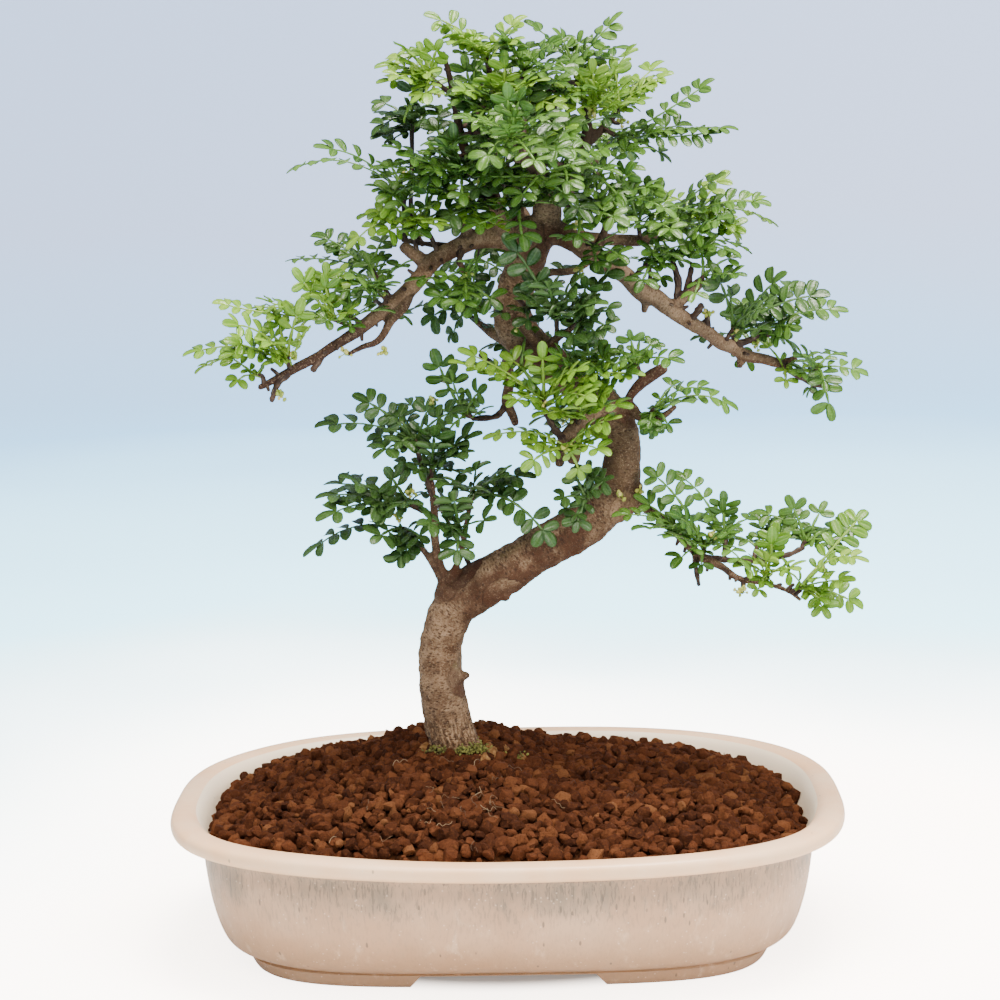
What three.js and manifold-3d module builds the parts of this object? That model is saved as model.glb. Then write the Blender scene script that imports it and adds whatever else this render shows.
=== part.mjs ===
// Japanese pepper bonsai in its shallow oval pot.
// Millimetres, +Z up, the front faces -Y.
import * as THREE from 'three';
import { mergeVertices } from 'three/addons/utils/BufferGeometryUtils.js';
import Module from 'manifold-3d';

const wasm = await Module();
wasm.setup();

// Driving dimensions
const POT_LENGTH = 280;
const POT_DEPTH = 208;
const POT_HEIGHT = 61;
const POT_SIDES = 28;
const POT_FLOOR = 13;
const FRONT_SQUARE = 0.25;
const FOOT_HEIGHT = 6.5;
const FOOT_GAP_FRONT = 70;
const FOOT_GAP_SIDE = 56;
const FOOT_SLANT = 5;
const DRAIN_RADIUS = 8;
const DRAIN_SIDES = 12;
const DRAIN_OFFSET = 52;
const MESH_SIZE = 26;
const MESH_THICK = 1.2;
const MESH_HOLE = 5.2;
const MESH_PITCH = 7.4;
const SOIL_TOP = 78.5;
const SOIL_EDGE = 57.5;
const SOIL_END_DROP = 7;
const SOIL_TILT = 2;
const SOIL_INSET = 0.5;
const GRANULE_RELIEF = 1.9;
const STUMP_HOLE_RADIUS = 13.6;
const STUMP_HOLE_SIDES = 16;
const STUMP_BOTTOM = 58;
const CLEARANCE = 0.3;
const BUD_RADIUS = 2;
const STALK_SIDES = 3;
const STALK_FOOT_RADIUS = 1.15;
const STALK_TIP_RADIUS = 0.9;
const SEAT_REACH = 4.6;
const END_SEAT = 0.7;
const RIB_HALF = 0.65;
const RIB_HEIGHT = 1.1;
const LEAF_SIDE_MAX = 8.2;
const TWO_PAIRS_FROM = 28.5;
const TRUNK_SIDES = 8;
const BRANCH_SIDES = 5;
const UPRIGHT_SIDES = 4;
const TWIG_SIDES = 3;
const SEED = 20727;

// The pot's centre is the middle of the frame that the lists below are written in.
// Lists give a place as x and z in the upright plane through the pot's centre, as seen
// from EYE, and y, its distance behind that plane.
const EYE = new THREE.Vector3(17.8, -980.9, 344);
const UP = new THREE.Vector3(0, 0, 1);
const FORWARD = new THREE.Vector3(0, -1, 0);
const RING_START = new THREE.Vector3(0.31, 0.87, 0.38);

function seen(x, z, y) {
  const reach = (y - EYE.y) / -EYE.y;
  return new THREE.Vector3(EYE.x + (x - EYE.x) * reach, y, EYE.z + (z - EYE.z) * reach);
}

// Small seeded generator, so that every build is the same
function seededRandom(seed) {
  let state = seed >>> 0;
  return () => {
    state = (state + 0x6d2b79f5) >>> 0;
    let mixed = state;
    mixed = Math.imul(mixed ^ (mixed >>> 15), mixed | 1);
    mixed ^= mixed + Math.imul(mixed ^ (mixed >>> 7), mixed | 61);
    return ((mixed ^ (mixed >>> 14)) >>> 0) / 4294967296;
  };
}

// Solids and geometries
function solidFrom(points, triangles) {
  const numbers = new Float32Array(points.length * 3);
  points.forEach((point, index) => point.toArray(numbers, index * 3));
  const mesh = new wasm.Mesh({
    numProp: 3,
    vertProperties: numbers,
    triVerts: new Uint32Array(triangles.flat()),
  });
  return new wasm.Manifold(mesh);
}

function solidOf(geometry) {
  const bare = geometry.clone();
  bare.deleteAttribute('normal');
  bare.deleteAttribute('uv');
  const merged = mergeVertices(bare, 1e-4);
  const mesh = new wasm.Mesh({
    numProp: 3,
    vertProperties: new Float32Array(merged.attributes.position.array),
    triVerts: new Uint32Array(merged.index.array),
  });
  return new wasm.Manifold(mesh);
}

function geometryOf(solid) {
  const mesh = solid.getMesh();
  const geometry = new THREE.BufferGeometry();
  const places = new Float32Array(mesh.vertProperties);
  geometry.setAttribute('position', new THREE.BufferAttribute(places, 3));
  geometry.setIndex(Array.from(mesh.triVerts));
  geometry.computeVertexNormals();
  return geometry;
}

// Closed solid through rings of equal count, with flat ends
function loft(rings) {
  const count = rings[0].length;
  const points = rings.flat();
  const triangles = [];
  for (let ring = 0; ring < rings.length - 1; ring++) {
    for (let side = 0; side < count; side++) {
      const next = (side + 1) % count;
      const a = ring * count + side;
      const b = ring * count + next;
      triangles.push([a, b, b + count], [a, b + count, a + count]);
    }
  }
  const last = (rings.length - 1) * count;
  for (let side = 1; side < count - 1; side++) {
    triangles.push([0, side + 1, side], [last, last + side, last + side + 1]);
  }
  return solidFrom(points, triangles);
}

// Pot: outline rings are superellipses, listed as half length, half depth, exponent, height.
// The front half is a little squarer than the back.
const HALF_LENGTH = POT_LENGTH / 2;
const HALF_DEPTH = POT_DEPTH / 2;
const POT_OUTSIDE = [
  [96.5, 62.5, 3.8, FOOT_HEIGHT],
  [97.5, 63.5, 3.8, 0],
  [107, 71.5, 3.8, 0],
  [109.5, 74, 3.7, FOOT_HEIGHT - 1],
  [112.5, 77, 3.3, 8],
  [118.2, 81.5, 3.1, 10.5],
  [122.3, 87.2, 2.95, 19],
  [125.8, 91.2, 2.78, 34],
  [127, 92.6, 2.72, 49.5],
  [132.8, 97.4, 2.72, 53.2],
  [HALF_LENGTH, HALF_DEPTH, 2.72, 57.2],
  [HALF_LENGTH - 3.6, HALF_DEPTH - 3.6, 2.72, POT_HEIGHT],
];
const POT_INSIDE = [
  [129.5, 93.8, 2.72, 60.2],
  [122.3, 87.5, 2.75, 46.5],
  [110, 79, 3, 19],
  [88, 62, 3.2, POT_FLOOR],
];

function outlinePoint([halfLength, halfDepth, exponent, height], side) {
  const turn = (2 * Math.PI * side) / POT_SIDES;
  const along = Math.cos(turn);
  const across = Math.sin(turn);
  const power = 2 / (across < 0 ? exponent + FRONT_SQUARE : exponent);
  return new THREE.Vector3(
    halfLength * Math.sign(along) * Math.abs(along) ** power,
    halfDepth * Math.sign(across) * Math.abs(across) ** power,
    height,
  );
}

function outlineRing(outline) {
  return Array.from({ length: POT_SIDES }, (_, side) => outlinePoint(outline, side));
}

// Slanted gap between two feet, cut from one side of the pot to the other
function footGap(width, length, turned) {
  const top = FOOT_HEIGHT - 0.8;
  const shape = new THREE.Shape();
  shape.moveTo(-width / 2 - FOOT_SLANT, -1);
  shape.lineTo(width / 2 + FOOT_SLANT, -1);
  shape.lineTo(width / 2, top);
  shape.lineTo(-width / 2, top);
  shape.closePath();
  const gap = new THREE.ExtrudeGeometry(shape, { depth: length, bevelEnabled: false });
  gap.rotateX(Math.PI / 2);
  gap.translate(0, length / 2, 0);
  if (turned) {
    gap.rotateZ(Math.PI / 2);
  }
  return solidOf(gap);
}

function roundHole(radius, sides, bottom, top, x, y) {
  const hole = new THREE.CylinderGeometry(radius, radius, top - bottom, sides);
  hole.rotateX(Math.PI / 2);
  hole.translate(x, y, (top + bottom) / 2);
  return solidOf(hole);
}

function makePot() {
  let pot = loft([...POT_OUTSIDE, ...POT_INSIDE].map(outlineRing));
  pot = pot.subtract(footGap(FOOT_GAP_FRONT, POT_DEPTH, false));
  pot = pot.subtract(footGap(FOOT_GAP_SIDE, POT_LENGTH, true));
  for (const side of [-1, 1]) {
    pot = pot.subtract(roundHole(DRAIN_RADIUS, DRAIN_SIDES, 0, POT_FLOOR + 5, side * DRAIN_OFFSET, 0));
  }
  return pot;
}

// Plastic mesh over each drain hole
function makeDrainMesh() {
  let plate = solidOf(new THREE.BoxGeometry(MESH_SIZE, MESH_SIZE, MESH_THICK));
  for (let column = -1; column <= 1; column++) {
    for (let row = -1; row <= 1; row++) {
      const hole = new THREE.BoxGeometry(MESH_HOLE, MESH_HOLE, 3 * MESH_THICK);
      hole.translate(column * MESH_PITCH, row * MESH_PITCH, 0);
      plate = plate.subtract(solidOf(hole));
    }
  }
  return geometryOf(plate);
}

// Soil: a low mound with a relief of clay granules, clear of the pot's wall all round. Its
// crest is highest at the trunk: x, and how far it rises or falls there.
const SOIL_CREST = [
  [-126, -4], [-90, -3.6], [-58, -2.6], [-42, 0.8], [-12, 0.8], [6, -4.5], [22, -9], [60, -8.5],
  [90, -6], [126, -3],
];

function crestChange(x) {
  const next = Math.max(1, SOIL_CREST.findIndex(([place]) => place > x));
  const [[fromX, from], [toX, to]] = SOIL_CREST.slice(next - 1, next + 1);
  return from + ((to - from) * (x - fromX)) / (toX - fromX);
}

function wallOutline(height) {
  const upper = POT_INSIDE.findIndex((ring) => ring[3] < height) - 1;
  const high = POT_INSIDE[Math.max(upper, 0)];
  const low = POT_INSIDE[Math.max(upper, 0) + 1];
  const share = (height - low[3]) / (high[3] - low[3]);
  const size = low.map((value, index) => value + (high[index] - value) * share);
  return [size[0] - SOIL_INSET, size[1] - SOIL_INSET, size[2], height];
}

function makeSoil() {
  const random = seededRandom(SEED);
  const bottom = POT_INSIDE.slice(1).reverse().map(([length, depth, power, height]) => {
    return outlineRing([length - SOIL_INSET, depth - SOIL_INSET, power, height + CLEARANCE]);
  });
  const edge = Array.from({ length: POT_SIDES }, (_, side) => {
    const turn = (2 * Math.PI * side) / POT_SIDES;
    const fall = SOIL_END_DROP * Math.cos(turn) ** 2 + SOIL_TILT * Math.cos(turn);
    return outlinePoint(wallOutline(SOIL_EDGE - fall), side);
  });
  const rings = [...bottom, edge];
  const shares = [0.95, 0.85, 0.74, 0.63, 0.52, 0.4, 0.27, 0.14];
  for (const share of shares) {
    rings.push(edge.map((rim) => {
      const near = share * (1 + (random() - 0.5) * 0.06);
      const top = SOIL_TOP + crestChange(rim.x * near);
      const rise = (top - rim.z) * (1 - near ** 2.6);
      const bump = (random() * 2 - 1) * GRANULE_RELIEF;
      return new THREE.Vector3(rim.x * near, rim.y * near, rim.z + rise + bump);
    }));
  }
  let soil = loft(rings);
  const [stumpX, , stumpY] = TRUNK[0];
  const hole = [STUMP_HOLE_RADIUS, STUMP_HOLE_SIDES, STUMP_BOTTOM - CLEARANCE, SOIL_TOP + 20];
  soil = soil.subtract(roundHole(...hole, stumpX, stumpY));
  for (const side of [-1, 1]) {
    const room = MESH_SIZE + 2;
    const height = MESH_THICK + 1;
    const pocket = new THREE.BoxGeometry(room, room, height);
    pocket.translate(side * DRAIN_OFFSET, 0, POT_FLOOR + height / 2);
    soil = soil.subtract(solidOf(pocket));
  }
  return soil;
}

// Wood: each limb is a list of x, z, y, radius along its middle line
const TRUNK = [
  [-21, 68, 3, 11.2], [-21.5, 76, 3, 11.0], [-22.6, 83, 3, 10.4], [-24, 90, 2, 9.9],
  [-26, 100, 1, 9.5], [-27, 112, 0, 9.3], [-27, 122, 0, 9], [-24.5, 132, -1, 9],
  [-20, 141, -1, 9.5], [-10, 148.5, -2, 10.3], [1, 154.5, -3, 9.8], [11, 161, -3, 9.2],
  [25, 168.5, -4, 9.2], [38, 177.5, -4, 9.7], [47.5, 188, -3, 9], [50.3, 202, -2, 7.7],
  [50, 212, -1, 7.4], [46.5, 219, 0, 7.9], [40, 225.5, 1, 7.6], [32, 232.5, 3, 7.5],
  [23, 240.5, 4, 7.6], [14, 248, 4, 8.2], [8, 256, 4, 8.4], [6, 264, 3, 7.7],
  [8, 273, 2, 7.6], [11.5, 282, 1, 7.7], [14, 290, 0, 8.8], [16, 297, 0, 8],
];
const BRANCHES = [
  [[2, 294, 0, 5.5], [-4, 293.5, -1, 4.3], [-10.5, 292, -2, 4], [-18, 288.5, -3, 3.8],
    [-25, 285, -4, 3.6], [-31.5, 277.5, -5, 3.6], [-38, 271, -6, 3.4], [-44, 266.6, -7, 3],
    [-54, 259, -9, 2.8], [-60, 254.7, -10, 2.5], [-68, 250, -12, 2.3], [-75, 245.5, -14, 2.1],
    [-82.5, 242, -15, 2], [-90, 238, -17, 1.8], [-99, 233.6, -19, 1.3]],
  [[19, 297, 1, 6.2], [31, 291.7, 2, 4.6], [39.4, 285, 4, 4.2], [47, 281, 5, 4],
    [53.4, 276, 6, 3.8], [59, 270, 8, 4], [65, 267.4, 9, 3.7], [72.5, 261.4, 11, 3.5],
    [80, 256.3, 12, 3.2], [86, 252.8, 14, 3], [91, 248.6, 15, 3], [96.7, 246.2, 16, 2.9],
    [101, 243.3, 17, 2.8], [109, 241.3, 19, 2.4], [117, 239.5, 21, 2.1], [122, 241.4, 22, 1.6]],
  [[48, 178, -5, 4.4], [54, 181, -8, 3], [58, 181.6, -9, 2.3], [62.4, 178.4, -10, 2.2],
    [69, 174, -11, 2.2], [74, 168, -12, 2.1], [78.4, 163.5, -13, 2.1], [82, 159.4, -14, 2],
    [87, 157, -15, 1.9], [92, 154.4, -16, 1.6], [96, 151, -17, 1.5], [100.4, 149, -18, 1.4],
    [107, 148, -19, 1.2], [114, 146, -20, 1.1], [120, 143.4, -21, 1.1], [124, 140, -22, 0.9]],
];
const UPRIGHTS = [
  [[6, 291, 0, 5], [3, 298, -2, 4.4], [0, 306, -4, 4], [-3, 315, -6, 3.4], [-12, 330, -8, 2.8],
    [-15, 345, -9, 2.3], [-17, 357, -10, 1.9], [-19.5, 368, -11, 1.3]],
  [[12, 292, 2, 4], [9, 302, 4, 3.2], [8, 312, 7, 3], [2, 322, 14, 2.6], [-4, 334, 20, 2.1],
    [-7, 345, 24, 1.5]],
  [[20, 293, 0, 6.8], [21, 304, -2, 6], [20, 314, -3, 5], [14, 324, -2, 4], [10, 331, 0, 3.4],
    [4, 341, 2, 2.6], [1, 350, 3, 1.8], [-1.5, 362, 0, 1.2]],
  [[14, 323, -2, 3.2], [20, 334, -4, 3], [25, 341, -6, 2.6], [18, 350, -8, 2.1],
    [13, 357, -9, 1.5]],
  [[20, 308, -2, 4], [28, 318, 2, 3.4], [33, 324, 5, 3], [37, 330, 7, 2.6], [38, 338, 8, 2.1],
    [37, 348, 8, 1.5], [34, 357, 7, 1.2]],
  [[35, 328, 6, 2.2], [44, 336, 10, 1.8], [49, 341, 12, 1.3]],
  [[12, 290, 5, 5], [11, 300, 22, 4], [7, 309, 42, 3], [2, 318, 60, 2.2], [-4, 326, 72, 1.6]],
  [[19, 302, 4, 4], [30, 312, 26, 3], [38, 320, 48, 2.4], [46, 327, 64, 1.6]],
  [[19, 313, -5, 3.4], [17, 320, -24, 2.8], [12, 326, -42, 2.2], [8, 331, -55, 1.5]],
  [[33, 232, 8, 4], [30, 236, 20, 3], [24, 240, 34, 2.2], [18, 244, 45, 1.5]],
  [[50, 203, 4, 3.5], [46, 208, 16, 2.6], [40, 214, 28, 1.8], [37, 217, 36, 1.3]],
];
// Side twigs, cut stubs and knobs
const TWIGS = [
  [[-86, 240, -16, 1.7], [-91, 235.5, -18, 1.5], [-93, 231, -20, 1.3], [-94, 228, -21, 1.1]],
  [[-73, 246, -13, 1.8], [-76.5, 240.5, -15, 1.4]],
  [[-35.6, 272, -6, 2.2], [-38, 266, -8, 2.2], [-44, 260, -10, 1.9], [-47, 254.5, -11, 1.6],
    [-50, 251.5, -12, 1.5], [-56, 249.5, -14, 1.3], [-62, 246.5, -15, 1]],
  [[-27, 283, -4, 2.6], [-32, 286, -3, 3], [-38, 290.5, -2, 2.4]],
  [[-12, 292, -2, 2.6], [-12, 297, -3, 2.4], [-14, 303, -4, 1.8]],
  [[-15, 290.5, -2, 1.3], [-26, 291, 1, 1.2], [-38, 293, 4, 1.1]],
  [[-30, 291, 2, 1.2], [-34, 300, 10, 1.1], [-34, 316, 14, 1]],
  [[-14, 290, -4, 1.8], [-15, 284, -8, 1.4], [-14, 281, -10, 1.2]],
  [[4, 251, 8, 3], [-2, 254, 14, 2.2], [-9, 259.5, 20, 1.4]],
  [[114, 240, 20, 1.7], [122, 235, 21, 1.5], [129, 231, 22, 1.4], [137, 229, 23, 1.1]],
  [[97, 247, 16, 1.9], [104, 249.5, 15, 1.5], [114, 252.5, 14, 1.1]],
  [[85, 253, 14, 1.6], [86, 257, 13, 1.3], [85.5, 262, 12, 1]],
  [[77, 257, 12, 1.8], [81, 260, 10, 1.6], [83.5, 264, 8, 1.4]],
  [[70, 262, 11, 2.8], [75.5, 266.5, 10, 2.6], [84, 274, 8, 2.2]],
  [[74, 266, 10, 1.8], [74, 275, 12, 1.6], [72, 281.5, 14, 1.2]],
  [[77, 268, 9, 1.6], [79, 276, 10, 1.3], [80, 281, 11, 1]],
  [[60, 270, 8, 2.2], [60.5, 264, 9, 1.6], [60, 262, 9, 1.5]],
  [[100, 243, 17, 2.2], [99, 238.3, 18, 1.4]],
  [[28, 292, 6, 4], [45.5, 291.5, 16, 2.8], [60, 291, 26, 2.5], [71, 293.5, 36, 1.9],
    [79, 297, 41, 1.3]],
  [[40, 285, 4, 2.2], [44, 294, 0, 1.7], [46.5, 302, -4, 1.3]],
  [[82.5, 159, -14, 1.6], [92, 158, -12, 1.3], [104.7, 157, -10, 1.2], [119, 159.5, -8, 1.1],
    [124.5, 162, -7, 1]],
  [[79.7, 162, -13, 1.3], [80.4, 154.7, -15, 1.1], [81.6, 147.3, -16, 0.9]],
  [[100.4, 149, -18, 1.1], [99.5, 143.6, -19, 0.8]],
  [[92.3, 157, -12, 1.1], [92.5, 164.5, -11, 0.9]],
  [[44, 222, -1, 4], [54.5, 222, -6, 2.6], [57, 219, -9, 2.1], [61, 217.5, -12, 1.8],
    [68, 219, -15, 1.4], [72.5, 222.5, -17, 1.1]],
  [[52, 222.5, -5, 2.2], [54.5, 228, -8, 2], [60.5, 234, -10, 2.6], [68, 238.5, -12, 2.3]],
  [[18, 246, -2, 3], [14, 252, -12, 2.2], [9, 258, -16, 2], [2.5, 264, -20, 1.7]],
  [[19, 246, -3, 2.6], [24, 251.5, -12, 1.8], [31, 256, -18, 1.3]],
  [[38, 222, -4, 4.6], [31, 214.5, -14, 3.4], [26, 209, -18, 2.6], [25, 203.5, -20, 2.3],
    [24.3, 199, -21, 2]],
  [[32, 215.5, -13, 2.6], [31, 207, -14, 3], [30, 200.5, -15, 2.8]],
  [[26.5, 209.5, -18, 2], [22.5, 214, -20, 1.5], [20, 219, -21, 1.3], [18.2, 223, -22, 1.1]],
  [[12, 244, 8, 4], [4, 243, 16, 2.8], [4.5, 234, 20, 2.4], [3, 226, 22, 2.4],
    [5.5, 220, 23, 2], [6.5, 216.5, 24, 1.7]],
  [[3.5, 236, 20, 1.5], [0, 239.5, 19, 1.2], [-7.5, 245.5, 17, 1]],
  [[2.5, 224, 22, 1.7], [-1, 220, 21, 1.4], [-10.5, 219, 20, 1.1]],
  [[-24, 145, -1, 5.6], [-24.5, 152, -2, 2.8], [-26, 157, -3, 2], [-28, 168, -4, 1.9],
    [-28, 179, -5, 1.8], [-28.5, 188, -6, 1.5], [-29, 196, -7, 1.2]],
  [[-25, 151, -2, 2.2], [-29, 158, -4, 1.6], [-33.5, 165, -6, 1.4], [-38.5, 171, -8, 1.1]],
  [[-23, 151, -3, 2.2], [-19.5, 157, -4, 1.6], [-17, 163, -6, 1.4], [-15, 174, -8, 1.3],
    [-13, 183.5, -9, 1.2]],
  [[-28.5, 187, -6, 1.3], [-32, 197, -8, 1.1], [-34.5, 207, -10, 1]],
  [[8, 272, 6, 3], [22, 278.5, 16, 1.8], [32, 279, 22, 1.4], [38, 282, 26, 1.1]],
  [[-19, 110, -2, 2.6], [-15.7, 110.4, -3, 1.6]],
  [[0, 147, -6, 3], [1, 143, -8, 2]],
  [[56, 187, -4, 2.4], [58, 190, -6, 1.3]],
];

// Ring of points round a limb's middle line. The limb's own across direction is carried from
// ring to ring, so the limb doesn't twist.
function limbRing(middle, ahead, across, radius, sides) {
  across.addScaledVector(ahead, -across.dot(ahead)).normalize();
  const beside = new THREE.Vector3().crossVectors(ahead, across);
  return Array.from({ length: sides }, (_, side) => {
    const turn = (2 * Math.PI * side) / sides;
    const point = middle.clone().addScaledVector(across, radius * Math.cos(turn));
    return point.addScaledVector(beside, radius * Math.sin(turn));
  });
}

// Tapering round limb along a smooth curve through its points
function limb(points, sides) {
  const path = new THREE.CatmullRomCurve3(points.map(([x, z, y]) => seen(x, z, y)), false, 'centripetal');
  const spans = points.length - 1;
  const across = RING_START.clone();
  return loft(points.map(([, , , radius], step) => {
    const share = step / spans;
    return limbRing(path.getPoint(share), path.getTangent(share), across, radius, sides);
  }));
}

// Trunk with a plain stump below the soil line
function makeTrunk() {
  const [x, , y, radius] = TRUNK[0];
  const foot = seen(...TRUNK[0]);
  const stump = new THREE.CylinderGeometry(radius, radius - 2, foot.z + 4 - STUMP_BOTTOM, TRUNK_SIDES);
  stump.rotateX(Math.PI / 2);
  stump.translate(seen(x, 0, y).x, y, (foot.z + 4 + STUMP_BOTTOM) / 2);
  return limb(TRUNK, TRUNK_SIDES).add(solidOf(stump));
}

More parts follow.
